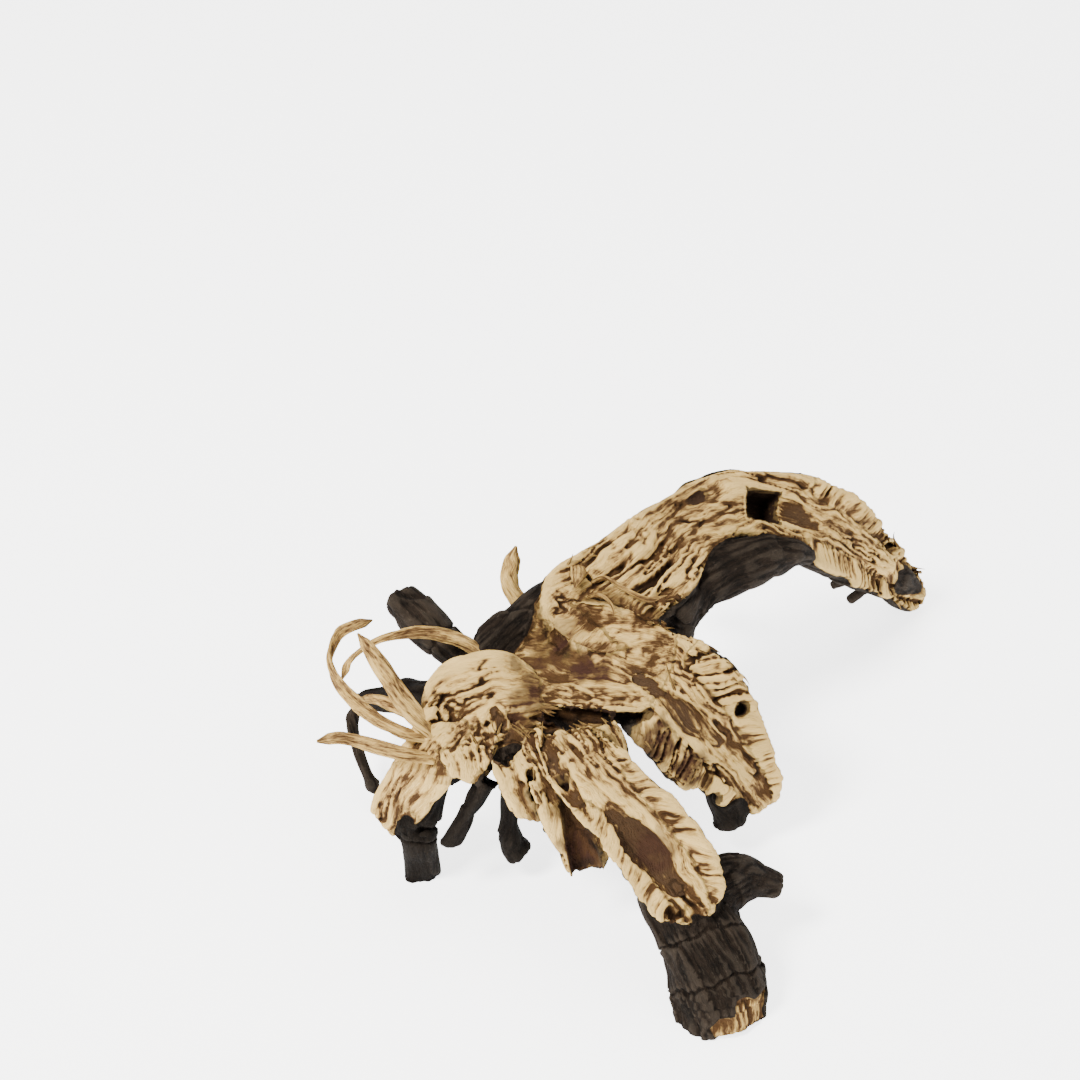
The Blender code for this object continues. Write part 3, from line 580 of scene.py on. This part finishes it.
def readSurface(points):
    # what each point is: flesh or bark, how near its lobe's rim, its place along the strands, and the
    # strand patterns
    count = len(points)
    patterns = relief["patterns"]
    onLimb = np.zeros(count)
    flow = np.zeros((count, 3))
    found = {name: np.zeros(count) for name in patterns}
    onRoot = {name: np.zeros(count) for name in patterns}
    closest = np.full(count, np.inf)
    for number, rows in enumerate(limbs.values()):
        samples = smoothRows(rows)
        axis = unit(np.gradient(samples[:, :3], axis=0))
        near = nearestSamples(points, samples[:, :3])
        offset = points - samples[near, :3]
        away = np.abs(np.linalg.norm(offset, axis=1) - samples[near, 3])
        onLimb = np.maximum(onLimb, 1 - smoothstep(*form["limbEdge"], away))
        better = (away < closest) & (away < form["limbEdge"][1])
        closest[better] = away[better]
        near, offset = near[better], offset[better]
        side = unit(np.cross(axis[near], aside))
        run = runLengths(samples[:, :3])[near] + (offset * axis[near]).sum(1)
        first = (offset * side).sum(1)
        second = (offset * np.cross(side, axis[near])).sum(1)
        flow[better] = np.column_stack([run, first, second + 9.1 * number])
        for name, (wide, long, seed) in patterns.items():
            onRoot[name][better] = stretched(run, first, second, wide, long, seed + number)

    flesh, rim, total, weights, strongest = (np.zeros(count) for _ in range(5))
    for number, lobe in enumerate(lobes.values()):
        rows, along, outward = lobeFrames(lobe)
        sideways = np.cross(along, outward)
        near = nearestSamples(points, rows[:, :3])
        offset = points - rows[near, :3]
        half, deep = rows[near, 3], rows[near, 4]
        beyond = (offset * along[near]).sum(1)
        across = (offset * sideways[near]).sum(1)
        over = (offset * outward[near]).sum(1)
        share = across / half
        gap = (
            np.maximum(np.abs(across) - half, 0) ** 2
            + np.maximum(over, 0) ** 2
            + np.maximum(-over - deep, 0) ** 2
            + np.maximum(np.abs(beyond) - form["spacing"], 0) ** 2
        )
        nearness = np.exp(-gap / form["blend"] ** 2)
        over = over + lobe["dish"] * np.clip(1 - share**2, 0, 1)
        power = 2 / lobe.get("square", 1)
        skin = (np.abs(share) ** power + np.abs(np.minimum(over, 0) / deep) ** power) ** (1 / power)
        back = smoothstep(*form["backEdge"], skin) * (1 - smoothstep(*form["faceEdge"], over))
        flesh += nearness * (1 - back)
        rim += nearness * smoothstep(*form["rimEdge"], np.abs(share)) * (1 - back)
        total += nearness
        run = runLengths(rows[:, :3])[near] + beyond

        # strands run along the lobe, and fan out to its rims past some share of its length
        chosen = nearness > 0.03
        run, across, over, share = run[chosen], across[chosen], over[chosen], share[chosen]
        weight = nearness[chosen] ** 3
        fanFrom, fanTo, fan = lobe.get("fan", (0, 1, 0.0))
        fan = fan * smoothstep(fanFrom, fanTo, run / rows.shape[0] / form["spacing"])
        fan = fan * smoothstep(*relief["fanAcross"], np.abs(share))
        bend = layered(np.column_stack([run, across, over]), relief["bends"], shift=number)
        ahead, aslant = relief["fanSlope"]
        spread = ahead * run - aslant * np.abs(across) + bend
        even = np.sqrt((1 - fan) ** 2 + fan**2)
        for name, (wide, long, seed) in patterns.items():
            straight = stretched(run, across + bend, over, wide, long, seed + number)
            fanned = stretched(across, spread, over * 0.2, wide, long, seed + number + 30)
            found[name][chosen] += weight * ((1 - fan) * straight + fan * fanned) / even
        weights[chosen] += weight**2
        straightPlace = np.column_stack([run, across + bend, over])
        fannedPlace = np.column_stack([across, spread, over])
        placed = np.where((fan > 0.5)[:, None], fannedPlace, straightPlace)
        better = (weight > strongest[chosen]) & np.isinf(closest[chosen])
        where = np.flatnonzero(chosen)[better]
        strongest[where] = weight[better]
        flow[where] = placed[better] + (0, 0, 5.3 * number)
    total = np.maximum(total, 0.3)
    weights = np.sqrt(np.maximum(weights, 1e-4))
    surface = {name: onLimb * onRoot[name] + (1 - onLimb) * found[name] / weights for name in patterns}
    return {
        **surface,
        "flesh": flesh / total * (1 - onLimb),
        "rim": rim / total * (1 - onLimb),
        "flow": flow,
    }


def readHollows(points):
    # how surely each point is the wall or floor of a hollow, times how dark that hollow is
    hollow = np.zeros(len(points))
    for lobe, dark, rows in gouges.values():
        samples = smoothRows(gougeRows(lobes[lobe], rows), 0.6)
        near = nearestSamples(points, samples[:, :3])
        away = np.linalg.norm(points - samples[near, :3], axis=1) - samples[near, 3]
        hollow = np.maximum(hollow, dark * (1 - smoothstep(*form["hollowEdge"], away)))
    inside = (points - holeFrame()[0]) @ holeFrame()[1]
    away = (np.abs(inside) - np.array(armHole["size"]) / 2).max(axis=1)
    return np.maximum(hollow, armHole["dark"] * (1 - smoothstep(*form["holeEdge"], away)))


def readSpots(points, spots, low=0.7, high=1.15):
    # how surely each point is in one of the round spots, with ragged borders
    found = np.zeros(len(points))
    ragged = layered(points, relief["ragged"], start=1)
    for x, y, z, radius, strength in spots:
        away = np.linalg.norm(points - (x, y, z), axis=1) * ragged / radius
        found = np.maximum(found, strength * (1 - smoothstep(low, high, away)))
    return found


def around(obj, points):
    # the mean of each point's neighbours
    edges = np.empty(len(obj.data.edges) * 2, np.int32)
    obj.data.edges.foreach_get("vertices", edges)
    one, two = edges.reshape(-1, 2).T
    count = len(points)
    shared = np.maximum(np.bincount(edges, minlength=count), 1)[:, None]
    sums = []
    for values in points.T:
        sums.append(np.bincount(one, values[two], count) + np.bincount(two, values[one], count))
    return np.column_stack(sums) / shared


def melt(obj, steps):
    # smooths the joins of the lobes far more than the rest
    points, _ = vertexArrays(obj)
    weight = (form["meltStrength"] * readSpots(points, joins, *relief["meltEdge"]))[:, None]
    for _ in range(steps):
        points += weight * (around(obj, points) - points)
    obj.data.vertices.foreach_set("co", points.ravel())
    obj.data.update()


def readRings(points):
    # how deep in a ring crack each point lies
    deep = np.zeros(len(points))
    wander = layered(points, relief["ringWander"])
    for place, axis in rings:
        offset = points - place
        along = offset @ unit(np.array(axis))
        close = 1 - smoothstep(*relief["ringReach"], np.linalg.norm(offset, axis=1))
        deep = np.maximum(deep, close * np.exp(-(((along + wander) / relief["ringWidth"]) ** 2)))
    return deep


def moveOut(obj, points, normals, height):
    moved = points + normals * height[:, None]
    obj.data.vertices.foreach_set("co", moved.ravel())
    obj.data.update()


def carve(obj):
    # folds and lumps first, then strands and slits on the flesh and wrinkles on the bark
    points, normals = vertexArrays(obj)
    surface = readSurface(points)
    bared = readSpots(points, bare)
    stained = readSpots(points, stains)
    flesh = np.maximum(surface["flesh"], bared)
    hollow = readHollows(points)
    calm = relief["calm"]
    dished = readSpots(points, [(*spot[:4], 1.0) for spot in dishes], *relief["dishEdge"]) * (1 - hollow)
    torn = readSpots(points, tornZones, *relief["tornEdge"]) * (1 - calm["torn"] * dished)
    sunk = 0
    for *place, radius, depth in dishes:
        sunk = sunk + depth * (1 - smoothstep(0, 1, np.linalg.norm(points - place, axis=1) / radius))
    lumps = -sunk * flesh + softNoise(points / relief["lumpWidth"], 1) * relief["lumpHeight"]
    folds = np.clip(surface["folds"], -relief["foldLimit"], relief["foldLimit"])
    low, high = relief["foldHeight"]
    barkLumps = softNoise(points / relief["barkLumpWidth"], 3) * relief["barkLumpHeight"]
    barkLumps += relief["plateHeight"] * (smoothstep(*relief["plateEdge"], surface["plates"]) - 0.5)
    barkLumps -= relief["ringDepth"] * readRings(points)
    height = flesh * folds * (low + (high - low) * torn) * (1 - 0.6 * hollow)
    moveOut(obj, points, normals, height + lumps + (1 - flesh) * barkLumps)

    points, normals = vertexArrays(obj)
    strands, threads = np.abs(surface["strands"]), np.abs(surface["threads"])
    presence = 0.5 * surface["folds"] + 0.8 * softNoise(points / relief["slitWidth"], 6)
    opened = smoothstep(0.1, 0.8, 1.5 * torn - presence + 0.12 - 0.6 * hollow - calm["slits"] * dished)
    slits = flesh * opened * (1 - smoothstep(*relief["slitEdge"], strands))
    coarse, fine = relief["strandShare"]
    rounded = coarse * np.sqrt(np.clip(strands, 0, 1.2)) + fine * np.sqrt(np.clip(threads, 0, 1.2))
    wrinkles = np.sqrt(np.clip(np.abs(surface["wrinkles"]), 0, 1.2)) - relief["barkMiddle"]
    low, high = relief["strandHeight"]
    height = flesh * (low + (high - low) * torn) * (1 - calm["strands"] * dished)
    height *= rounded - relief["strandMiddle"]
    height -= relief["slitDepth"] * slits * (0.35 + 0.65 * torn)
    height += (1 - flesh) * (relief["barkHeight"] * wrinkles) - relief["bareDepth"] * bared
    fold = surface["folds"] + 0.5 * np.clip(surface["threads"], -1.2, 1.2)
    blurred = np.column_stack([height, slits, rounded, fold])
    blurred = (1 - relief["blur"]) * blurred + relief["blur"] * around(obj, blurred)
    height, slits, rounded, fold = blurred.T
    moveOut(obj, points, normals, height)
    return {
        "flesh": flesh,
        "slit": slits,
        "strand": np.clip(rounded, 0, 1.2),
        "torn": torn,
        "fold": np.clip(fold, -2, 2),
        "dish": dished,
        # painted shade on the roots that lie in shade
        "soot": readSpots(points, shadedRootSpots),
        "hollow": hollow,
        "bare": bared,
        "rim": surface["rim"],
        "stain": stained,
        "flow": surface["flow"],
    }


def cavities(obj, steps):
    # how deep each point lies under its surroundings
    points, normals = vertexArrays(obj)
    smooth = points
    for _ in range(steps):
        smooth = around(obj, smooth)
    return ((smooth - points) * normals).sum(1)


def hold(obj, name, values):
    # keeps one value or vector for each vertex
    kind = "FLOAT_VECTOR" if values.ndim == 2 else "FLOAT"
    attribute = obj.data.attributes.new(name, kind, "POINT")
    attribute.data.foreach_set("vector" if values.ndim == 2 else "value", values.astype(np.float32).ravel())


def thinOut(obj, fields):
    # fewer triangles, each new vertex taking the values of the nearest old one
    before, _ = vertexArrays(obj)
    modifier = obj.modifiers.new("thinOut", "DECIMATE")
    modifier.ratio = form["triangles"] / (2 * len(before))
    modifier.use_collapse_triangulate = True
    applyModifiers(obj)
    tree = kdtree.KDTree(len(before))
    for number, place in enumerate(before):
        tree.insert(place, number)
    tree.balance()
    after, _ = vertexArrays(obj)
    near = np.array([tree.find(place)[1] for place in after])
    for name, values in fields.items():
        hold(obj, name, values[near])
    hold(obj, "groove", cavities(obj, form["grooveSteps"]))
    hold(obj, "valley", cavities(obj, form["valleySteps"]))


def readHeld(obj, name):
    values = np.empty(len(obj.data.vertices), np.float32)
    obj.data.attributes[name].data.foreach_get("value", values)
    return values.astype(float)


def toMetres(obj):
    obj.data.transform(Matrix.Scale(mm, 4) @ Matrix.Translation([-v for v in designShift]))
    obj.data.shade_smooth()


def makeBody():
    raw = bmesh.new()
    for lobe in lobes.values():
        loftLobe(raw, lobe)
    for rows in limbs.values():
        addTube(raw, rows)
    body = newObject("rhizomeBody", raw)
    fuse(body, form["voxel"], form["rounding"])
    melt(body, form["meltSteps"])
    print("fused", len(body.data.vertices), "vertices")

    raw = bmesh.new()
    for lobe, _, rows in gouges.values():
        addTube(raw, gougeRows(lobes[lobe], rows))
    addHole(raw)
    cutter = newObject("gouges", raw)
    fuse(cutter, form["voxel"] * 1.5, 2)
    cut(body, cutter)
    raw = bmesh.new()
    raw.from_mesh(body.data)
    addStubs(raw)
    raw.to_mesh(body.data)
    raw.free()
    fuse(body, form["voxel"], 4)
    print("gouged", len(body.data.vertices), "vertices")

    fields = carve(body)
    print("carved")
    thinOut(body, fields)
    raw = bmesh.new()
    bmesh.ops.create_cube(raw, size=form["block"], matrix=Matrix.Translation((0, 0, -form["block"] / 2)))
    cut(body, newObject("ground", raw))
    toMetres(body)
    print("body of", len(body.data.polygons), "faces")
    return body


class Wire:  # a node's output that takes part in plain sums
    def __init__(self, tree, socket=None):
        self.tree = tree
        self.socket = socket

    def node(self, kind, settings, inputs, out=0):
        made = self.tree.nodes.new(kind)
        for name, value in settings.items():
            if name == "stops":
                ramp = made.color_ramp
                ramp.elements[0].position = value[0][0]
                ramp.elements[-1].position = value[-1][0]
                for place, _ in value[1:-1]:
                    ramp.elements.new(place)
                for element, (_, colour) in zip(ramp.elements, value):
                    element.color = (*colour, 1)
            else:
                setattr(made, name, value)
        for name, value in inputs.items():
            if isinstance(value, Wire):
                self.tree.links.new(value.socket, made.inputs[name])
            else:
                made.inputs[name].default_value = value
        return Wire(self.tree, made.outputs[out])

    def sum(self, operation, first, second):
        return self.node("ShaderNodeMath", {"operation": operation}, {0: first, 1: second})

    def __add__(self, other):
        return self.sum("ADD", self, other)

    def __sub__(self, other):
        return self.sum("SUBTRACT", self, other)

    def __rsub__(self, other):
        return self.sum("SUBTRACT", other, self)

    def __mul__(self, other):
        return self.sum("MULTIPLY", self, other)

    def __rmul__(self, other):
        return self.sum("MULTIPLY", other, self)

    def range(self, low, high, first=0.0, last=1.0):
        values = {"Value": self, "From Min": low, "From Max": high, "To Min": first, "To Max": last}
        return self.node("ShaderNodeMapRange", {"interpolation_type": "SMOOTHSTEP"}, values)

    def mix(self, first, second):
        # two colours or a colour wire, mixed by this value
        inputs = {0: self, 6: self.colour(first), 7: self.colour(second)}
        return self.node("ShaderNodeMix", {"data_type": "RGBA"}, inputs, 2)

    def colour(self, value):
        return value if isinstance(value, Wire) else (*value, 1)


# Colours and finish of the flesh and the bark
finish = {
    "cream": (0.64, 0.43, 0.15),
    "straw": (0.46, 0.285, 0.085),
    "tan": (0.2, 0.117, 0.046),
    "brown": (0.065, 0.032, 0.012),
    # slit: the dark brown of the slits, deepened to near-black as painted shade in the cracks
    "slit": (0.014, 0.007, 0.0035),
    # hollow and deep: the rot brown of the hollows, darkened as painted shade in them and inside the holes
    "hollow": (0.072, 0.044, 0.025),
    "deep": (0.018, 0.009, 0.006),
    "stain": (0.045, 0.02, 0.013),
    "barkDark": (0.004, 0.003, 0.0022),
    "barkBrown": (0.016, 0.0108, 0.0072),
    # grey of random flecks, and painted sheen on the bark's raised ridges
    "barkGreyFlecksAndSheen": (0.06, 0.046, 0.033),
    "roughness": 0.85,
    "specular": 0.06,
    "bumpStrength": 0.9,
    "bumpDepth": 0.001,
    "stretch": (0.14, 1.0, 1.0),  # how the fibres are drawn out along the strands
    # where on the ramp of flesh colours each thing moves a place, up to pale or down to dark
    "lightness": {
        # groove, valley and sunken: painted shade, darker where the surface lies deep under its surroundings
        "strand": 0.62, "groove": -2.4, "valley": -0.8, "torn": -0.1, "sunken": -0.4,
        # dish: lightens the broad dishes, which that painted shade would darken too much
        "fold": 0.13, "rim": -0.14, "tone": -0.3, "bare": -0.4, "dish": 0.56,
    },
    "darker": 0.64,  # taken from the whole sum of these
    "contrast": 0.8,
    "places": (0.0, 0.27, 0.55, 0.95),  # of brown, tan, straw and cream on the ramp
}


def bodyMaterial():
    material = bpy.data.materials.new("driedFlesh")
    material.use_nodes = True
    tree = material.node_tree
    shader = tree.nodes["Principled BSDF"]
    start = Wire(tree)

    def held(name, out=2):
        return start.node("ShaderNodeAttribute", {"attribute_name": name}, {}, out)

    def noise(vector, scale, detail=3.0, roughness=0.55):
        inputs = {"Vector": vector, "Scale": scale, "Detail": detail, "Roughness": roughness}
        return start.node("ShaderNodeTexNoise", {}, inputs)

    place = start.node("ShaderNodeTexCoord", {}, {}, 3)
    parts = {0: held("flow", 1), 1: finish["stretch"]}
    drawn = start.node("ShaderNodeVectorMath", {"operation": "MULTIPLY"}, parts)
    fibres = noise(drawn, 1.6, 4.0, 0.65)
    fineFibres = noise(drawn, 4.5, 3.0, 0.6)
    tone = noise(place, 70.0, 4.0)
    patches = noise(place, 260.0, 3.0)
    speck = noise(place, 1000.0, 2.0)

    flesh, slit, hollow, stain = held("flesh"), held("slit"), held("hollow"), held("stain")
    groove, valley = held("groove"), held("valley")
    lines = fibres.range(0.32, 0.68) * 0.6 + fineFibres.range(0.34, 0.66) * 0.46
    height = lines + patches.range(0.3, 0.7) * 0.24
    # painted shade: the hollows darker where they lie deep under their surroundings
    sunken = hollow * valley.range(-0.15, 0.7)
    known = {"groove": groove, "valley": valley, "sunken": sunken, "tone": tone.range(0.4, 0.7)}
    # groove, valley and sunken move the flesh down the ramp: painted shade in crevices, valleys and hollows
    for name, weight in finish["lightness"].items():
        height = height + (known.get(name) or held(name)) * weight
    height = (height - finish["darker"]) * finish["contrast"]
    colours = [finish[name] for name in ("brown", "tan", "straw", "cream")]
    stops = list(zip(finish["places"], colours))
    skin = start.node("ShaderNodeValToRGB", {"stops": stops}, {"Fac": height})
    # painted shade: hollow brown where a hollow lies deep under its surroundings
    skin = (sunken.range(0.1, 0.8) * 0.7).mix(skin, finish["hollow"])
    # painted shade: near-black inside the darkest holes and splits
    skin = (hollow.range(0.78, 0.95) * 0.85).mix(skin, finish["deep"])
    skin = (stain * patches.range(0.25, 0.5)).mix(skin, finish["stain"])
    # the slits' dark brown, deepened to near-black as painted shade in the narrow cracks
    skin = (slit.range(0.1, 0.8) * 0.9).mix(skin, finish["slit"])

    bark = (0.6 * fibres + 0.4 * patches).range(0.36, 0.62).mix(finish["barkDark"], finish["barkBrown"])
    # painted sheen: the bark greyer where it stands above its surroundings, and grey flecks at random
    sheenAndFlecks = (0 - groove).range(0.02, 0.2) * 0.35 + speck.range(0.5, 0.7) * fineFibres.range(0.45, 0.65) * 0.4
    bark = sheenAndFlecks.mix(bark, finish["barkGreyFlecksAndSheen"])
    # painted shade: the bark of the roots in shade darkened nearly to black
    bark = (held("soot") * 0.8).mix(bark, finish["barkDark"])

    edge = (flesh + (patches - 0.5) * 0.5).range(0.4, 0.6)
    colour = edge.mix(bark, skin)
    rimShade = (flesh + (patches - 0.5) * 0.9 + (fibres - 0.5) * 0.6).range(0.5, 0.95)
    colour = ((1 - rimShade) * edge * 0.8).mix(colour, finish["brown"])
    tree.links.new(colour.socket, shader.inputs["Base Color"])
    shader.inputs["Roughness"].default_value = finish["roughness"]
    shader.inputs["Specular IOR Level"].default_value = finish["specular"]

    bumps = fibres * 0.8 + fineFibres * 0.6 + speck * 0.12
    raised = {"Strength": finish["bumpStrength"], "Distance": finish["bumpDepth"], "Height": bumps}
    bump = start.node("ShaderNodeBump", {}, raised)
    tree.links.new(bump.socket, shader.inputs["Normal"])
    return material


# Rootlets and shavings: how flat and how twisted each is, and rows of (x, y, z, radius)
rootlets = {
    "longArc": (0.5, 0.5, [
        (-39.5, -21.5, 32, 1.5), (-44.9, -23, 34.5, 1.3), (-51.5, -19.6, 36, 1.15),
        (-56.9, -14.2, 38, 1.05), (-59.5, -8.3, 40, 1), (-58.3, -2.3, 41, 0.95), (-55.3, 0.7, 41, 0.9),
        (-52.2, 3.9, 40, 0.7),
    ]),
    "archOver": (0.45, 0.8, [
        (-28.5, -6.5, 36, 1.4), (-32.9, -4.6, 40, 1.2), (-38, -3.8, 42, 1.1), (-43.6, -4, 43, 1.05),
        (-50.2, -4.8, 42, 1), (-55.4, -5.6, 38.5, 0.9), (-57.6, -7.4, 34.5, 0.7),
    ]),
    "splinter": (0.6, 0.3, [
        (-39, -22, 31, 1.8), (-42.4, -21.5, 36.5, 1.7), (-46.4, -17.6, 39.8, 1.6),
        (-50.4, -13, 43.6, 1.4), (-54, -8.4, 46.4, 0.7),
    ]),
    "lowSplinter": (0.6, 0.4, [
        (-40, -25, 30, 1.5), (-46.6, -26.4, 32.6, 1.3), (-56, -23.6, 33.6, 1.2), (-61.2, -23.6, 33, 1),
    ]),
    "shortCurl": (0.5, 0.6, [
        (-38, -19, 31, 1.3), (-43.6, -18, 34.2, 1.1), (-49.4, -13.4, 34, 0.95), (-54, -8.6, 31, 0.7),
    ]),
    "thinRoot": (1.0, 0.0, [
        (-55, 9, 15.5, 1.1), (-57.4, 6, 13, 1), (-56, 1.6, 8.6, 0.9), (-54, -2.6, 5.6, 1),
        (-53, -4.4, 4.4, 1.7), (-52.4, -5.4, 3.8, 1.2),
    ]),
    "uprightStub": (0.75, 0.2, [
        (-22.5, 6.5, 39.5, 2), (-25.6, 9.6, 43, 1.6), (-25.4, 12, 47, 1.4), (-24.6, 13.6, 50.5, 0.9),
    ]),
    "flap": (0.3, 0.3, [
        (-11.9, 11.6, 46, 1.6), (-12.3, 9, 48.6, 1.5), (-12.6, 5.6, 49.6, 1.2), (-13.4, 2.4, 48.6, 0.6),
    ]),
    "longCurl": (0.4, 0.6, [
        (-10, 7.6, 46, 0.9), (-7.4, 5.3, 49, 0.8), (-4.2, 1.5, 49.4, 0.7), (0.2, -0.6, 48.4, 0.6),
        (4, 0.4, 48.6, 0.3),
    ]),
    "smallCurl": (0.4, 0.5, [
        (-10.6, 3.2, 46, 0.8), (-8.6, 0.8, 48.4, 0.7), (-6.6, -1.8, 48.2, 0.5), (-6, -3.8, 46.8, 0.25),
    ]),
}


def roundPoints(sides):
    angle = 2 * math.pi * np.arange(sides) / sides
    return np.column_stack([np.cos(angle), np.sin(angle)])


# How a strip is made
strip = {
    "sides": 20,
    "spacing": 0.4,
    "turn": 8,  # length in which its twist is made
    "taper": 3,
    "lumps": (9, 1.3),
    "grooves": (6, 3.1),
    "strand": 0.72,
}


def makeRootlet(name, flat, twist, rows):
    # a flattened, grooved strip that tapers and turns as it goes
    sides = strip["sides"]
    samples = smoothRows(rows, strip["spacing"])
    run = runLengths(samples[:, :3])
    axis = unit(np.gradient(samples[:, :3], axis=0))
    circle = roundPoints(sides)
    seed = list(rootlets).index(name)
    bm = bmesh.new()
    rings, flow = [], []
    for row, ahead, gone in zip(samples, axis, run):
        side = unit(np.cross(ahead, aside))
        up = np.cross(side, ahead)
        turned = twist * gone / strip["turn"]
        endTaper = min(1, 0.25 + (run[-1] - gone) / strip["taper"])
        (longLumps, lumps), (longGrooves, grooves) = strip["lumps"], strip["grooves"]
        coarse = softNoise(np.column_stack([np.full(sides, gone / longLumps), circle * lumps]), 500 + seed)
        fine = softNoise(np.column_stack([np.full(sides, gone / longGrooves), circle * grooves]), 520 + seed)
        swell = 1 + 0.3 * coarse + 0.35 * (np.sqrt(np.abs(fine)) - 0.5)
        wide = row[3] * endTaper * swell * 1.15
        a, b = wide * circle[:, 0], wide * flat * circle[:, 1]
        c, s = math.cos(turned), math.sin(turned)
        ring = row[:3] + np.outer(a * c - b * s, side) + np.outer(a * s + b * c, up)
        rings.append([bm.verts.new(p) for p in ring])
        flow.append(np.column_stack([np.full(sides, gone), circle * row[3] + 7.0 * seed]))
    skinRings(bm, rings)
    obj = newObject(name, bm)
    count = len(obj.data.vertices)
    hold(obj, "flow", np.concatenate(flow))
    hold(obj, "flesh", np.full(count, 0.0 if flat == 1 else 1.0))
    hold(obj, "strand", np.full(count, strip["strand"]))
    hold(obj, "groove", cavities(obj, 3))
    toMetres(obj)
    return obj


# Fine torn fibres that stand off the rims of the torn flesh
splinters = {
    "count": 110,
    "seed": 8,
    "length": (1.5, 4.0),
    "radius": (0.25, 0.55),
    "sides": 5,
    "steps": 6,
    "spread": 0.3,
    "lift": (0.1, 0.4),
    "drift": 0.25,
    "sunk": 0.5,
    "taper": 0.85,
    "aside": (0.21, 0.3, 1),
    "strand": 0.7,
}


def makeSplinters(body):
    rng = np.random.default_rng(splinters["seed"])
    points, normals = vertexArrays(body)
    points = points / mm + designShift
    share = readHeld(body, "torn") * readHeld(body, "rim") * (readHeld(body, "flesh") > 0.5)
    samples, along = [], []
    for lobe in lobes.values():
        rows, ahead, _ = lobeFrames(lobe)
        samples.append(rows[:, :3])
        along.append(ahead)
    along = np.concatenate(along)[nearestSamples(points, np.concatenate(samples))]
    chosen = rng.choice(len(points), splinters["count"], p=share / share.sum())
    circle = roundPoints(splinters["sides"])
    bm = bmesh.new()
    flow = []
    for number in chosen:
        length, radius = rng.uniform(*splinters["length"]), rng.uniform(*splinters["radius"])
        ahead = unit(along[number] * rng.choice([-1, 1]) + rng.normal(0, splinters["spread"], 3))
        lift = normals[number] * rng.uniform(*splinters["lift"])
        drift = rng.normal(0, splinters["drift"], 3)
        rings = []
        for step in range(splinters["steps"] + 1):
            u = step / splinters["steps"]
            bent = ahead * u + lift * u * (1 - 0.6 * u) + drift * u * u
            place = points[number] - splinters["sunk"] * normals[number] + length * bent
            side = unit(np.cross(ahead, splinters["aside"]))
            thick = radius * (1 - splinters["taper"] * u)
            ring = place + thick * circle @ np.array([side, np.cross(side, ahead)])
            rings.append([bm.verts.new(p) for p in ring])
            flow.append(np.column_stack([np.full(len(circle), length * u), circle + number * 0.37]))
        skinRings(bm, rings)
    obj = newObject("splinters", bm)
    hold(obj, "flow", np.concatenate(flow))
    hold(obj, "flesh", np.ones(len(obj.data.vertices)))
    hold(obj, "strand", np.full(len(obj.data.vertices), splinters["strand"]))
    toMetres(obj)
    return obj


# Camera, floor and light
studio = {
    "cameraAt": (-0.021425, -0.374908, 0.334343),
    "lookDown": 36.0,  # degrees under the horizon
    "lens": 83.333,
    "sensor": 36.0,
    "floorSize": 9.0,
    "floorColour": (0.92, 0.92, 0.915),
    "floorGlow": 3.2,
    "floorRoughness": 0.95,
    "nearest": 0.01,  # where the camera begins to see
    "world": (1.0, 1.0, 1.0),
    "worldStrength": 0.4,
    # each light: place, where it points, size, power, colour
    "lights": {
        "keyLight": ((-0.45, -0.35, 0.75), (0, -0.01, 0.02), 0.22, 18.0, (1, 0.985, 0.96)),
        "fillLight": ((0.6, -0.5, 0.5), (0, 0, 0.02), 0.6, 3.2, (0.96, 0.98, 1)),
        "topLight": ((0.05, 0.35, 0.9), (0, 0, 0), 0.7, 7.0, (1, 1, 1)),
    },
}


def makeStudio():
    camera = bpy.data.cameras.new("camera")
    camera.lens = studio["lens"]
    camera.sensor_width = studio["sensor"]
    camera.clip_start = studio["nearest"]
    view = bpy.data.objects.new("camera", camera)
    view.location = studio["cameraAt"]
    view.rotation_euler = (math.radians(90 - studio["lookDown"]), 0, 0)
    bpy.context.scene.collection.objects.link(view)
    bpy.context.scene.camera = view

    bm = bmesh.new()
    bmesh.ops.create_grid(bm, x_segments=1, y_segments=1, size=studio["floorSize"] / 2)
    floor = newObject("floor", bm)
    paper = bpy.data.materials.new("palePaper")
    paper.use_nodes = True
    inputs = paper.node_tree.nodes["Principled BSDF"].inputs
    inputs["Base Color"].default_value = (*studio["floorColour"], 1)
    inputs["Roughness"].default_value = studio["floorRoughness"]
    inputs["Emission Color"].default_value = (1, 1, 1, 1)
    inputs["Emission Strength"].default_value = studio["floorGlow"]
    floor.data.materials.append(paper)

    world = bpy.data.worlds.new("paleRoom")
    world.use_nodes = True
    inputs = world.node_tree.nodes["Background"].inputs
    inputs["Color"].default_value = (*studio["world"], 1)
    inputs["Strength"].default_value = studio["worldStrength"]
    bpy.context.scene.world = world
    for name, (place, aim, size, power, colour) in studio["lights"].items():
        lamp = bpy.data.lights.new(name, "AREA")
        lamp.size = size
        lamp.energy = power
        lamp.color = colour
        obj = bpy.data.objects.new(name, lamp)
        obj.location = place
        obj.rotation_euler = (Vector(aim) - Vector(place)).to_track_quat("-Z", "Y").to_euler()
        bpy.context.scene.collection.objects.link(obj)


makeStudio()
print("studio ready")
body = makeBody()
body.data.materials.clear()
body.data.materials.append(bodyMaterial())
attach(body, "root")
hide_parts("rhizome")

for name, shape in rootlets.items():
    piece = makeRootlet(name, *shape)
    piece.data.materials.append(body.data.materials[0])
    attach(piece, "root")
fibres = makeSplinters(body)
fibres.data.materials.append(body.data.materials[0])
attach(fibres, "root")
print("rootlets made")
